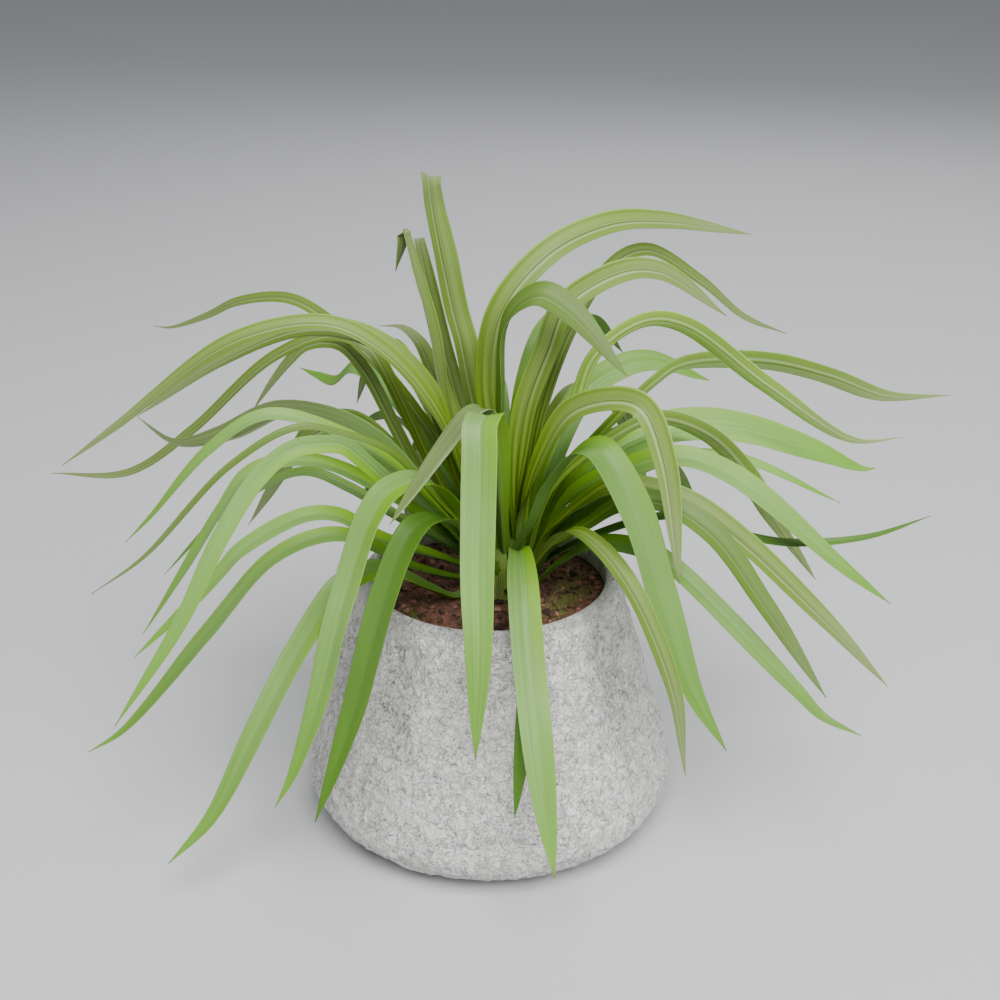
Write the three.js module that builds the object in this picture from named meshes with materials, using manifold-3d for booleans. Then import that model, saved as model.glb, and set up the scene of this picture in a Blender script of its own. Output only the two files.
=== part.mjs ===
// A spider plant in a rough stone-like plaster pot: the pot, its soil, the crown that stands in the
// soil, and every large leaf as a solid of its own. Millimetres, +Z up, the pot's axis on Z and its
// underside at z = 0. The plant is seen from the front along +Y, with +X on the right.
import * as THREE from 'three';
import Module from 'manifold-3d';
import { mergeVertices } from 'three/addons/utils/BufferGeometryUtils.js';

// ---------------------------------------------------------------- driving dimensions

const GAP = 0.3;                  // clear space between pieces that touch on the real plant

const POT = {
  height: 149.3,
  wall: 8.5,                      // thickness of the wall below the rim
  floor: 12,                      // thickness of the bottom
  rimOuter: 74.4,                 // radius outside the rim
  rimInner: 67.5,                 // radius inside the rim
  sides: 64,
  // radius and height of the outer wall, from the flat underside up to just below the rim
  outline: [
    [86, 0], [92.5, 1.8], [98.5, 5.4], [104, 10.5], [108.2, 16.5], [110, 23], [108.8, 31],
    [105.8, 42], [102.1, 54], [98, 68], [93.9, 82], [89.5, 97], [85.4, 112], [81.2, 126], [77, 140],
  ],
};

// Four soft upright grooves pinch the wall between shoulder and rim.
const GROOVE = { count: 4, first: -126, depth: 4.0, halfAngle: 9, low: 45, high: 146 };

// Two slow waves that cross on the wall, as a cast made by hand has. Each wave has its crests round
// the pot, its turn per millimetre of height and its start, both in radians.
const SWELL = { depth: 0.35, low: 6, high: 142, fade: 14, waves: [[9, 0.14, 0.7], [-12, 0.12, 2.1]] };

const SOIL = { atWall: 138.5, atCrown: 140.5 };

// The crown is the upper half of an upright egg on a round neck. Leaves grow from it in whorls.
const CROWN = {
  x: 10,                          // the plant stands a little to the right of the pot's axis
  middle: 146,                    // height of the egg's widest place
  across: 19,                     // its radius there, and the neck's
  tall: 24,                       // from there to its top
  foot: 116,                      // height of the neck's lower end
  sides: 32,
};
const WHORLS = [-5, 10, 25, 40, 55, 70];   // degrees up the egg, lowest whorl first

const BLADE = {
  thickness: 1.0,
  steps: 12,                      // pieces along a leaf
  rootWidth: 5,                   // at the crown
  rootFold: 42,                   // degrees that each half is folded up at the crown
  midFold: 16,                    // the same at full width
  tipFold: 9,
  widening: 0.34,                 // share of the length that the leaf takes to reach full width
  taper: 0.46,                    // where it starts to narrow to its point
  fullness: 3.2,                  // how long it stays wide before the point
  point: 1.0,                     // width left at the very tip
};

// ---------------------------------------------------------------- leaves
// One row for a leaf: [whorl, root, turn, width, roll, finish, guides].
// root: degrees round the crown where it grows; turn: degrees round the crown's axis towards which it
// arches, both counted from +X towards +Y; width: at its widest; roll: degrees that the blade's upper
// face leans to the front; guides: [reach from the crown's axis, height above the ground, drift aside].

const LEAVES = {
  left: [
    [3, 140, 150, 7, 60, 'striped',
      [[35, 204, -2], [80, 255, -2], [127, 286], [149, 291], [187, 283], [211, 271], [244, 258],
       [257, 257]]],
    [5, 180, 184, 12, 30, 'striped',
      [[23, 202, 1], [38, 247, 3], [65, 283, 1], [95, 300], [145, 292], [212, 245], [244, 223]]],
    [4, 175, 174, 15, 30, 'striped',
      [[31, 211, 3], [43, 258, 2], [72, 286], [108, 292], [158, 272], [211, 237]]],
    [3, 160, 158, 8, 55, 'striped',
      [[40, 194], [60, 236, 1], [76, 266], [83, 274, -1], [106, 279, -1], [145, 262], [208, 206],
       [261, 169], [321, 159]]],
    [2, 143, 148, 9, 75, 'striped',
      [[34, 173], [60, 200, 1], [76, 223], [96, 254], [115, 267, -1], [139, 263], [154, 250],
       [173, 229], [188, 210]]],
    [3, 187, 173, 20, -50, 'plain',
      [[35, 182], [75, 226], [99, 239], [127, 242], [161, 226], [187, 219], [196, 221], [213, 235]]],
    [3, 212, 186, 9, 30, 'plain',
      [[39, 188], [65, 219], [88, 237], [130, 251], [162, 233], [198, 194], [214, 178, -1]]],
    [3, 235, 195, 5, 30, 'striped',
      [[38, 195], [65, 230], [91, 244], [116, 250], [152, 232], [202, 184], [231, 166]]],
    [2, 202, 206, 10, 70, 'plain',
      [[39, 187], [69, 216], [95, 244], [99, 246], [123, 248], [141, 237], [165, 206], [190, 162],
       [230, 109]]],
    [2, 181, 186, 11, 25, 'plain',
      [[42, 178], [72, 205], [109, 223], [141, 218], [160, 195], [184, 158], [210, 120]]],
    [1, 150, 152, 20, 45, 'striped',
      [[46, 174, -1], [78, 204, -1], [104, 220], [130, 212], [148, 190], [187, 137]]],
    [1, 168, 166, 7, 35, 'plain',
      [[38, 162], [61, 174], [95, 192], [122, 199], [171, 170], [220, 119]]],
    [1, 192, 193, 11, 30, 'plain',
      [[39, 161, -1], [75, 178, -2], [96, 194, -1], [115, 196], [150, 179], [161, 168], [178, 151],
       [213, 120]]],
    [0, 190, 198, 11, 25, 'plain',
      [[32, 149], [57, 161, 2], [97, 187, 1], [132, 179], [173, 138], [224, 85], [244, 75]]],
    [0, 212, 211, 16, 20, 'plain',
      [[35, 141, 1], [51, 151, 1], [81, 171], [99, 169], [107, 166, 1], [130, 137], [160, 92],
       [189, 48, 1], [215, 27]]],
    [2, 218, 220, 20, 5, 'plain',
      [[36, 196], [58, 222], [80, 222], [92, 211], [97, 203], [114, 164], [131, 116], [151, 75],
       [163, 60]]],
    [2, 250, 234, 18, 0, 'plain',
      [[23, 171], [39, 189, 1], [58, 204, 1], [71, 208, 1], [82, 208, 1], [96, 195], [122, 146, -1],
       [136, 118, -1], [168, 74]]],
  ],
  front: [
    [4, 225, 242, 11, 10, 'plain',
      [[15, 203, -1], [21, 240, 2], [23, 256, -1], [32, 258, -3], [70, 248, -2], [122, 230]]],
    [4, 262, 262, 19, 0, 'plain',
      [[18, 197, -1], [36, 243, -3], [55, 266, -3], [63, 263, -5], [70, 252, -4], [87, 194, -3],
       [105, 155], [118, 99]]],
    [2, 285, 279, 18, 0, 'plain',
      [[28, 172], [37, 179, 1], [59, 172, -1], [84, 151, -3], [111, 116, -3], [141, 70, -1],
       [155, 52]]],
    [0, 272, 270, 11, 0, 'plain',
      [[30, 151, 6], [50, 160, 10], [72, 156, 11], [92, 132, 11], [108, 100, 8], [121, 65, 4]]],
  ],
  right: [
    [5, 64, 35, 15, 45, 'striped',
      [[2, 207, 5], [-2, 261, 14], [1, 303, 8], [29, 332, 3], [66, 343], [105, 340], [178, 322]]],
    [5, 5, 20, 14, 70, 'striped',
      [[6, 206], [10, 247], [23, 282], [33, 305], [66, 321], [90, 319], [133, 289]]],
    [4, 28, 38, 8, 65, 'striped',
      [[21, 236, -1], [46, 288], [75, 319], [101, 323], [147, 297], [186, 268], [229, 248]]],
    [5, -70, -25, 21, 30, 'striped',
      [[0, 203, -2], [2, 262, -8], [5, 304, -7], [20, 317, -3], [34, 311], [69, 279]]],
    [4, 58, 60, 12, 20, 'plain', [[12, 215], [20, 255], [38, 280], [60, 286], [95, 272], [130, 240]]],
    [3, 50, 45, 14, -20, 'plain',
      [[20, 200, 2], [30, 233, 3], [43, 271], [55, 287, 1], [68, 286], [98, 259]]],
    [4, 0, 6, 17, -45, 'striped',
      [[17, 216, -2], [39, 247, 1], [50, 278], [76, 296], [97, 293], [145, 257], [200, 222],
       [229, 223]]],
    [3, 2, 16, 21, -45, 'striped',
      [[33, 201, 1], [62, 234, -2], [88, 255], [102, 263], [153, 261], [194, 249], [237, 232],
       [281, 229]]],
    [3, 27, 40, 16, 45, 'plain', [[30, 205], [59, 245, 1], [86, 254], [111, 253], [167, 228]]],
    [2, 12, 12, 22, 40, 'plain',
      [[33, 189, 1], [62, 218, 3], [96, 230, 1], [142, 225], [186, 208], [219, 194], [226, 194]]],
    [4, -36, -28, 14, 60, 'striped',
      [[11, 186, -1], [23, 226, -2], [39, 255], [67, 267], [82, 265, -2], [96, 241, -6],
       [107, 195, -11], [110, 174, -12]]],
    [3, -19, 2, 19, -45, 'striped',
      [[26, 200, -3], [52, 225, -2], [82, 241, -1], [110, 233, -1], [131, 213], [154, 178],
       [182, 140]]],
    [2, -10, -8, 15, 35, 'plain',
      [[36, 196, 2], [59, 212, 3], [95, 226], [125, 217], [186, 168], [218, 144]]],
    [1, 31, 8, 8, 30, 'plain', [[39, 182], [63, 200], [97, 215], [134, 212], [199, 180]]],
    [1, 12, -5, 6, 30, 'plain', [[51, 174], [93, 188], [137, 177], [163, 174], [204, 180], [236, 194]]],
    [2, -33, -17, 15, 30, 'striped',
      [[25, 176, -3], [44, 198, -3], [63, 211], [100, 207, 1], [129, 191], [178, 150], [219, 111]]],
    [1, -30, -27, 14, 30, 'striped',
      [[27, 167], [51, 189, -1], [72, 207, -3], [91, 212], [121, 199, 2], [153, 165], [191, 118]]],
    [0, -33, -29, 12, 30, 'plain',
      [[36, 163], [60, 181], [90, 182], [106, 175], [176, 122], [192, 110], [213, 105]]],
    [4, -70, -42, 21, 15, 'plain',
      [[25, 190, -3], [35, 214, -2], [49, 235], [59, 242, -1], [67, 242, -1], [89, 217, -1],
       [108, 172, 1], [132, 125, -1], [156, 96]]],
    [1, -52, -50, 13, 0, 'striped',
      [[32, 172], [53, 193, 1], [75, 193], [107, 175, -2], [133, 131, 1], [146, 86]]],
    [1, -10, -12, 13, 20, 'plain', [[28, 168, 2], [45, 185, 1], [62, 198], [85, 200], [125, 185]]],
  ],
  back: [
    [1, 130, 136, 10, -60, 'plain', [[40, 178, -1], [73, 210], [98, 219], [126, 207, 1]]],
    [2, 105, 126, 14, -5, 'striped',
      [[43, 194], [93, 241], [121, 256, 1], [141, 241, 1], [160, 205, 3]]],
    [2, 122, 138, 12, 40, 'plain',
      [[41, 191, 1], [80, 230], [106, 244], [124, 245], [142, 232], [159, 232], [175, 233]]],
    [4, 118, 140, 13, 0, 'striped',
      [[26, 199, -4], [48, 243, -3], [57, 262], [65, 274], [78, 280], [96, 278]]],
    [2, 86, 95, 16, 0, 'plain', [[40, 205], [75, 230], [115, 225], [160, 180], [190, 130]]],
    [1, 90, 78, 16, 0, 'plain', [[45, 185], [90, 210], [135, 190], [175, 140], [200, 95]]],
    [2, 68, 60, 16, 0, 'striped', [[40, 205], [80, 232], [125, 220], [170, 170], [200, 115]]],
    [1, 109, 112, 15, 0, 'striped', [[45, 185], [90, 208], [135, 185], [170, 135], [190, 90]]],
    [1, 50, 45, 14, 0, 'plain', [[45, 180], [90, 200], [140, 180], [190, 118]]],
    [0, 125, 128, 14, 0, 'plain', [[45, 165], [85, 190], [125, 175], [155, 135]]],
    [0, 85, 88, 15, 0, 'plain', [[50, 165], [90, 175], [125, 145], [150, 95]]],
  ],
  centre: [
    [5, 134, 118, 20, -20, 'striped',
      [[19, 202, -1], [43, 242, -1], [52, 273, 1], [64, 289], [85, 344, 2], [87, 359, 3], [96, 359, -2],
       [103, 346, -4], [104, 330, -4]]],
    [4, 148, 154, 21, -15, 'striped',
      [[19, 195, 1], [37, 230], [46, 282], [53, 314, 1], [62, 343], [61, 341], [68, 319]]],
    [4, 82, 118, 10, 0, 'striped',
      [[23, 192, -5], [41, 215, -1], [57, 230, -1], [80, 266], [107, 319, 1], [116, 318, -3],
       [122, 305, -5], [123, 292, -5]]],
  ],
};

// ---------------------------------------------------------------- materials

function finish(color, roughness) {
  return new THREE.MeshStandardMaterial({ color, roughness, metalness: 0 });
}
const FINISHES = {
  plaster: () => finish(0xc9c7c0, 0.92),
  earth: () => finish(0x4a3026, 0.98),
  stem: () => finish(0x9fb06a, 0.6),
  plain: () => finish(0x86a85c, 0.48),
  striped: () => finish(0x98a878, 0.5),
};

// ---------------------------------------------------------------- helpers

const wasm = await Module();
wasm.setup();

const radians = THREE.MathUtils.degToRad;
const smooth = (from, to, value) => THREE.MathUtils.smoothstep(value, from, to);

function namedMesh(name, geometry, material) {
  const mesh = new THREE.Mesh(geometry, material);
  mesh.name = name;
  return mesh;
}

// Keeps positions only, joins the seam's doubled vertices and lays the spun shape's axis along Z.
function closedBody(geometry) {
  geometry.deleteAttribute('normal');
  geometry.deleteAttribute('uv');
  const body = mergeVertices(geometry, 1e-4);
  body.computeVertexNormals();
  return body;
}

// A profile of [radius, height] points, from the axis round to the axis again, spun about Z.
function spun(profile, sides) {
  const points = profile.map(([radius, height]) => new THREE.Vector2(radius, height));
  return new THREE.LatheGeometry(points, sides).rotateX(Math.PI / 2);
}

// A closed mesh as a solid that can be cut, and back.
function solidOf(geometry) {
  return new wasm.Manifold(new wasm.Mesh({
    numProp: 3,
    vertProperties: new Float32Array(geometry.attributes.position.array),
    triVerts: new Uint32Array(geometry.index.array),
  }));
}
function geometryOf(solid) {
  const { vertProperties, triVerts } = solid.getMesh();
  const geometry = new THREE.BufferGeometry();
  geometry.setAttribute('position', new THREE.BufferAttribute(vertProperties, 3));
  geometry.setIndex(new THREE.BufferAttribute(triVerts, 1));
  geometry.computeVertexNormals();
  return geometry;
}

// ---------------------------------------------------------------- pot and soil

// Radius of the smooth outer wall at a height, between the outline's points.
function outerRadius(height) {
  const points = POT.outline;
  const above = Math.max(1, points.findIndex(([, z]) => z >= height));
  const [[lowRadius, low], [highRadius, high]] = [points[above - 1], points[above]];
  return lowRadius + (highRadius - lowRadius) * (height - low) / (high - low);
}

// Radius and height of the inner wall's points, from the floor's edge up to the rim.
function innerWall() {
  const heights = [POT.floor + 8, 34, 60, 88, 114];
  const wall = heights.map((height) => [outerRadius(height) - POT.wall, height]);
  return [[wall[0][0] - 8, POT.floor], ...wall, [POT.rimInner + 0.8, 136]];
}

// The rim is a half round between the outer and the inner wall.
function rimArc(steps) {
  const radius = (POT.rimOuter - POT.rimInner) / 2;
  const middle = POT.rimInner + radius;
  return Array.from({ length: steps + 1 }, (_, i) => {
    const angle = Math.PI * i / steps;
    return [middle + radius * Math.cos(angle), POT.height - radius + radius * Math.sin(angle)];
  });
}

// How far the grooves draw the wall in at a place on it.
function grooveDepth(angle, height) {
  const foot = smooth(GROOVE.low, GROOVE.low + 55, height);
  const head = 1 - smooth(GROOVE.high - 16, GROOVE.high, height);
  let depth = 0;
  for (let i = 0; i < GROOVE.count; i += 1) {
    const centre = GROOVE.first + 360 * i / GROOVE.count;
    const away = ((angle - centre + 540) % 360) - 180;
    depth += GROOVE.depth * Math.exp(-((away / GROOVE.halfAngle) ** 2));
  }
  return depth * foot * head;
}

// How far the swell stands out at a place on the wall.
function swellHeight(angle, height) {
  const foot = smooth(SWELL.low, SWELL.low + SWELL.fade, height);
  const head = 1 - smooth(SWELL.high - SWELL.fade, SWELL.high, height);
  let stand = 0;
  for (const [crests, climb, start] of SWELL.waves) {
    stand += SWELL.depth * Math.sin(crests * radians(angle) + climb * height + start);
  }
  return stand * foot * head;
}

function makePot() {
  const outside = [[0, 0], ...POT.outline];
  const profile = [...outside, ...rimArc(6), ...innerWall().reverse(), [0, POT.floor]];
  const geometry = spun(profile, POT.sides);
  const place = geometry.attributes.position;
  for (let i = 0; i < place.count; i += 1) {
    if (i % profile.length >= outside.length) continue;
    const [x, y, z] = [place.getX(i), place.getY(i), place.getZ(i)];
    const radius = Math.hypot(x, y);
    if (radius < 1) continue;
    const angle = THREE.MathUtils.radToDeg(Math.atan2(y, x)) + 360;
    const scale = 1 + (swellHeight(angle, z) - grooveDepth(angle, z)) / radius;
    place.setXYZ(i, x * scale, y * scale, z);
  }
  return namedMesh('pot', closedBody(geometry), FINISHES.plaster());
}

// The soil fills the pot, with a plain round hole in its top for the crown's neck.
function makeSoil() {
  const side = innerWall().map(([radius, height]) => [radius - GAP, Math.max(height, POT.floor + GAP)]);
  const mound = [[POT.rimInner + GAP, SOIL.atWall], [45, SOIL.atWall + 1.2], [0, SOIL.atCrown]];
  const filling = spun([[0, POT.floor + GAP], ...side, ...mound], POT.sides);
  const [radius, bottom, top] = [CROWN.across + GAP, CROWN.foot - GAP, SOIL.atCrown + 10];
  const hole = spun([[0, bottom], [radius, bottom], [radius, top], [0, top]], CROWN.sides);
  hole.translate(CROWN.x, 0, 0);
  const cut = solidOf(closedBody(filling)).subtract(solidOf(closedBody(hole)));
  return namedMesh('soil', geometryOf(cut), FINISHES.earth());
}

// ---------------------------------------------------------------- crown

// A point of the egg at an angle up it and a turn round it, grown by a margin.
function onCrown(up, turn, margin = 0) {
  const radius = (CROWN.across + margin) * Math.cos(radians(up));
  return new THREE.Vector3(
    CROWN.x + radius * Math.cos(radians(turn)),
    radius * Math.sin(radians(turn)),
    CROWN.middle + (CROWN.tall + margin) * Math.sin(radians(up)),
  );
}

function makeCrown() {
  const profile = [[0, CROWN.foot], [CROWN.across, CROWN.foot]];
  for (let up = 0; up < 90; up += 10) {
    const point = onCrown(up, 0);
    profile.push([point.x - CROWN.x, point.z]);
  }
  profile.push([0, CROWN.middle + CROWN.tall]);
  const mesh = namedMesh('crown', closedBody(spun(profile, CROWN.sides)), FINISHES.stem());
  mesh.position.x = CROWN.x;
  return mesh;
}

// Where a line through a point along a direction leaves the egg grown by the gap.
function leavesCrown(point, direction) {
  const scale = new THREE.Vector3(CROWN.across + GAP, CROWN.across + GAP, CROWN.tall + GAP);
  const start = point.clone().sub(new THREE.Vector3(CROWN.x, 0, CROWN.middle)).divide(scale);
  const step = direction.clone().divide(scale);
  const [a, b, c] = [step.dot(step), 2 * start.dot(step), start.dot(start) - 1];
  const distance = (-b + Math.sqrt(Math.max(0, b * b - 4 * a * c))) / (2 * a);
  return point.clone().addScaledVector(direction, distance);
}

// ---------------------------------------------------------------- one leaf

// The level direction of a turn.
function along(turn) {
  return new THREE.Vector3(Math.cos(radians(turn)), Math.sin(radians(turn)), 0);
}

// The middle line: from inside the crown through the root and the guides.
function leafSpine(whorl, root, turn, guides) {
  const outward = along(turn);
  const across = along(turn + 90);
  const path = guides.map(([reach, height, drift = 0]) => new THREE.Vector3(CROWN.x, 0, height)
    .addScaledVector(outward, reach).addScaledVector(across, drift));
  const start = onCrown(WHORLS[whorl], root);
  const inward = start.clone().sub(path[0]).normalize();
  const curve = new THREE.CatmullRomCurve3([start.clone().addScaledVector(inward, 3), start, ...path]);
  return { curve, across };
}

// Half width and fold of the blade at a share of its length.
function leafSection(share, width) {
  const grown = smooth(0, BLADE.widening, share);
  const late = Math.max(0, (share - BLADE.taper) / (1 - BLADE.taper));
  const full = BLADE.rootWidth + (width - BLADE.rootWidth) * grown;
  const half = Math.max(BLADE.point, full * (1 - late ** BLADE.fullness)) / 2;
  const fold = grown < 1
    ? BLADE.rootFold + (BLADE.midFold - BLADE.rootFold) * grown
    : BLADE.midFold + (BLADE.tipFold - BLADE.midFold) * late;
  return { half, fold: radians(fold) };
}

// Six corners round the blade at a share of its length: the upper face, then the lower one.
function leafRing(curve, across, share, width, lean) {
  const centre = curve.getPointAt(share);
  const forward = curve.getTangentAt(share);
  const side = across.clone().addScaledVector(forward, -across.dot(forward)).normalize();
  side.applyAxisAngle(forward, radians(lean) * smooth(0, BLADE.widening, share));
  const up = forward.clone().cross(side).normalize();
  const { half, fold } = leafSection(share, width);
  const corner = (sideways, raised) => centre.clone()
    .addScaledVector(side, sideways).addScaledVector(up, raised);
  const [reach, lift, thick] = [half * Math.cos(fold), half * Math.sin(fold), BLADE.thickness / 2];
  const upper = [corner(reach, lift + thick), corner(0, thick), corner(-reach, lift + thick)];
  const lower = [corner(-reach, lift - thick), corner(0, -thick), corner(reach, lift - thick)];
  return { corners: [...upper, ...lower], forward };
}

function makeLeaf(name, [whorl, root, turn, width, roll, kind, guides]) {
  const { curve, across } = leafSpine(whorl, root, turn, guides);
  const lean = roll * (along(turn).x < 0 ? -1 : 1);
  const rings = [];
  for (let step = 0; step <= BLADE.steps; step += 1) {
    const { corners, forward } = leafRing(curve, across, step / BLADE.steps, width, lean);
    rings.push(step === 0 ? corners.map((corner) => leavesCrown(corner, forward)) : corners);
  }
  const corners = rings[0].length;
  const faces = [];
  for (let step = 0; step < BLADE.steps; step += 1) {
    for (let i = 0; i < corners; i += 1) {
      const [here, next] = [step * corners + i, step * corners + (i + 1) % corners];
      faces.push(here, next, here + corners, next, next + corners, here + corners);
    }
  }
  const last = BLADE.steps * corners;
  for (const [a, b, c, d] of [[0, 1, 4, 5], [1, 2, 3, 4]]) {
    faces.push(a, c, b, a, d, c);
    faces.push(last + a, last + b, last + c, last + a, last + c, last + d);
  }
  const geometry = new THREE.BufferGeometry().setFromPoints(rings.flat());
  geometry.setIndex(faces);
  geometry.computeVertexNormals();
  return namedMesh(name, geometry, FINISHES[kind]());
}

// ---------------------------------------------------------------- the whole plant

const plant = new THREE.Group();
plant.add(makePot(), makeSoil(), makeCrown());
for (const [place, rows] of Object.entries(LEAVES)) {
  rows.forEach((row, index) => {
    plant.add(makeLeaf(`leaf_${place}_${String(index + 1).padStart(2, '0')}`, row));
  });
}

export default plant;
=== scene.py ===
"""The look of a potted spider plant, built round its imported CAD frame.

The pot, the soil and the crown get fine surfaces of their own, and every leaf is laid again along the
line that its solid follows, with a keeled blade, veins and a finish that changes from root to tip.
Lengths are millimetres in the classes below and become metres where a mesh is made.
"""

import logging
import math
from dataclasses import dataclass
from enum import Enum
from typing import Callable, Optional, Sequence, Union

import bpy
import numpy as np
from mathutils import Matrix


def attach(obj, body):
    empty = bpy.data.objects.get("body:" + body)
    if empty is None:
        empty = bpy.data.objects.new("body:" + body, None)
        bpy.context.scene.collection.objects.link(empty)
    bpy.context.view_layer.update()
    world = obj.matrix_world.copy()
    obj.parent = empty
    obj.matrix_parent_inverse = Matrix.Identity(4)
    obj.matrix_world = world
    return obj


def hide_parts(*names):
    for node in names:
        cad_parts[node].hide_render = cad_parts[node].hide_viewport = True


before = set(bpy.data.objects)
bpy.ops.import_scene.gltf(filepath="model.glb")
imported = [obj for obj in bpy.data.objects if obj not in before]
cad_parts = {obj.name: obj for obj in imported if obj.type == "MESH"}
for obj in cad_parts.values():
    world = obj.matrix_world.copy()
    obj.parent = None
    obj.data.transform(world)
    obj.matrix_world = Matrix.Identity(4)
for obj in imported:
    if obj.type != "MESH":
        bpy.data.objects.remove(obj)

LOG = logging.getLogger("spider_plant")
MM = 0.001
SEED = 7849
STEPS_BETWEEN = 40  # steps of a curve between two of its points
Array = np.ndarray


# ---- shader expressions


def _operator(operation: str, reflected: bool = False) -> Callable[["Wire", "Value"], "Wire"]:
    """One of a wire's operators.

    Args:
        operation: the Math node's operation.
        reflected: whether the wire stands to the right of the operator.

    Returns:
        The method, which adds the node.
    """

    def operator(self: "Wire", other: "Value") -> "Wire":
        """Adds a Math node that works on the wire and the other value."""
        return self.sheet.maths(operation, *((other, self) if reflected else (self, other)))

    return operator


class Wire:
    """A shader socket that Python's own operators can work on."""

    def __init__(self, sheet: "Sheet", socket: bpy.types.NodeSocket) -> None:
        """Wraps a socket of a sheet's node."""
        self.sheet = sheet
        self.socket = socket

    __add__, __radd__ = _operator("ADD"), _operator("ADD", True)
    __sub__, __rsub__ = _operator("SUBTRACT"), _operator("SUBTRACT", True)
    __mul__, __rmul__ = _operator("MULTIPLY"), _operator("MULTIPLY", True)

    def __abs__(self) -> "Wire":
        """The size of self without its sign."""
        return self.sheet.maths("ABSOLUTE", self)

    def ramp(self, low: float, high: float) -> "Wire":
        """A smooth rise from 0 at low to 1 at high."""
        sockets = {"Value": self, "From Min": low, "From Max": high}
        return self.sheet.wired(0, "ShaderNodeMapRange", {"interpolation_type": "SMOOTHSTEP"}, sockets)


Value = Union[Wire, float, int]
Colour = tuple[float, float, float]
Paint = Union[Wire, Colour]
Stops = tuple[tuple[float, Colour], ...]


class Sheet:
    """A material's node tree, written as expressions."""

    def __init__(self, name: str) -> None:
        """Starts an empty material with its shader and output.

        Args:
            name: the material's name.
        """
        self.material = bpy.data.materials.new(name)
        self.material.use_nodes = True
        self.tree = self.material.node_tree
        self.tree.nodes.clear()
        self.shader = self.node("ShaderNodeBsdfPrincipled")
        self.node("ShaderNodeOutputMaterial", {}, {"Surface": Wire(self, self.shader.outputs[0])})

    def node(
        self, kind: str, settings: Optional[dict] = None, sockets: Optional[dict] = None
    ) -> bpy.types.Node:
        """Makes one node.

        Args:
            kind: Blender's name for the node's type.
            settings: its own properties, set first. "stops" holds a colour ramp's stops.
            sockets: values or wires by the name or number of the input.

        Returns:
            The node.
        """
        made = self.tree.nodes.new(kind)
        for key, value in (settings or {}).items():
            if key == "stops":
                self._set_stops(made.color_ramp, value)
            else:
                setattr(made, key, value)
        for key, value in (sockets or {}).items():
            if isinstance(value, Wire):
                self.tree.links.new(value.socket, made.inputs[key])
            elif isinstance(value, tuple) and made.inputs[key].type == "RGBA":
                made.inputs[key].default_value = (*value, 1.0)
            else:
                made.inputs[key].default_value = value
        return made

    @staticmethod
    def _set_stops(ramp: bpy.types.ColorRamp, wanted: Stops) -> None:
        """Gives a colour ramp its stops, each a place and a colour.

        Args:
            ramp: the ramp, which starts with two stops.
            wanted: the stops that it gets.
        """
        while len(ramp.elements) < len(wanted):
            ramp.elements.new(1.0)
        for element, (place, colour) in zip(ramp.elements, wanted):
            element.position = place
            element.color = (*colour, 1.0)

    def wired(self, output: Union[int, str], kind: str, settings: dict, sockets: dict) -> Wire:
        """One output of a new node, by its number or name."""
        return Wire(self, self.node(kind, settings, sockets).outputs[output])

    def maths(self, operation: str, *values: Value) -> Wire:
        """One Math node on up to three values."""
        return self.wired(0, "ShaderNodeMath", {"operation": operation}, dict(enumerate(values)))

    def carried(self, *names: str) -> list[Wire]:
        """The numbers that the mesh carries under some names.

        Args:
            *names: the attributes' names.

        Returns:
            A wire for each name.
        """
        kind = {"attribute_type": "GEOMETRY"}
        return [
            self.wired("Fac", "ShaderNodeAttribute", {**kind, "attribute_name": name}, {}) for name in names
        ]

    def place(self) -> Wire:
        """Object coordinates, in metres."""
        return self.wired("Object", "ShaderNodeTexCoord", {}, {})

    def joined(self, x: Value, y: Value, z: Value) -> Wire:
        """A vector from three numbers."""
        return self.wired(0, "ShaderNodeCombineXYZ", {}, {0: x, 1: y, 2: z})

    def grey(self, value: Wire) -> Wire:
        """A grey whose three channels are the value."""
        return self.wired(0, "ShaderNodeCombineColor", {}, {0: value, 1: value, 2: value})

    def vectors(self, operation: str, first: Paint, second: Paint) -> Wire:
        """One Vector Math node on two vectors."""
        return self.wired(0, "ShaderNodeVectorMath", {"operation": operation}, {0: first, 1: second})

    def noise(self, where: Wire, scale: float, detail: float = 3.0, warp: float = 0.0) -> Wire:
        """Soft cloudy noise about 0.5."""
        sockets = {"Vector": where, "Scale": scale, "Detail": detail, "Distortion": warp}
        return self.wired("Fac", "ShaderNodeTexNoise", {}, sockets)

    def plates(self, where: Wire, scale: float) -> tuple[Wire, Wire, Wire]:
        """Small tilted plates: a plate's height is its random tilt times the way from its middle.

        Args:
            where: the place.
            scale: plates in a metre.

        Returns:
            The height, about -0.5 to 0.5, a random number for each plate, and the distance to its edge.
        """
        sockets = {"Vector": where, "Scale": scale}
        cell = self.node("ShaderNodeTexVoronoi", {"feature": "F1"}, sockets)
        edge = self.wired(0, "ShaderNodeTexVoronoi", {"feature": "DISTANCE_TO_EDGE"}, sockets)
        colour = Wire(self, cell.outputs["Color"])
        way = self.vectors("SUBTRACT", where, Wire(self, cell.outputs["Position"]))
        both = {0: way, 1: self.vectors("SUBTRACT", colour, (0.5, 0.5, 0.5))}
        height = self.wired("Value", "ShaderNodeVectorMath", {"operation": "DOT_PRODUCT"}, both) * scale
        return height, self.wired(0, "ShaderNodeSeparateColor", {}, {0: colour}), edge

    def warped(self, where: Wire, scale: float, reach: float) -> Wire:
        """A place pushed about by noise, up to about half of reach in metres.

        Args:
            where: the place.
            scale: the noise's scale, in a metre.
            reach: how far it may push.

        Returns:
            The new place.
        """
        sockets = {"Vector": where, "Scale": scale, "Detail": 3.0}
        push = self.wired("Color", "ShaderNodeTexNoise", {}, sockets)
        centred = self.vectors("SUBTRACT", push, (0.5, 0.5, 0.5))
        return self.vectors("ADD", where, self.vectors("MULTIPLY", centred, (reach,) * 3))

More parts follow.
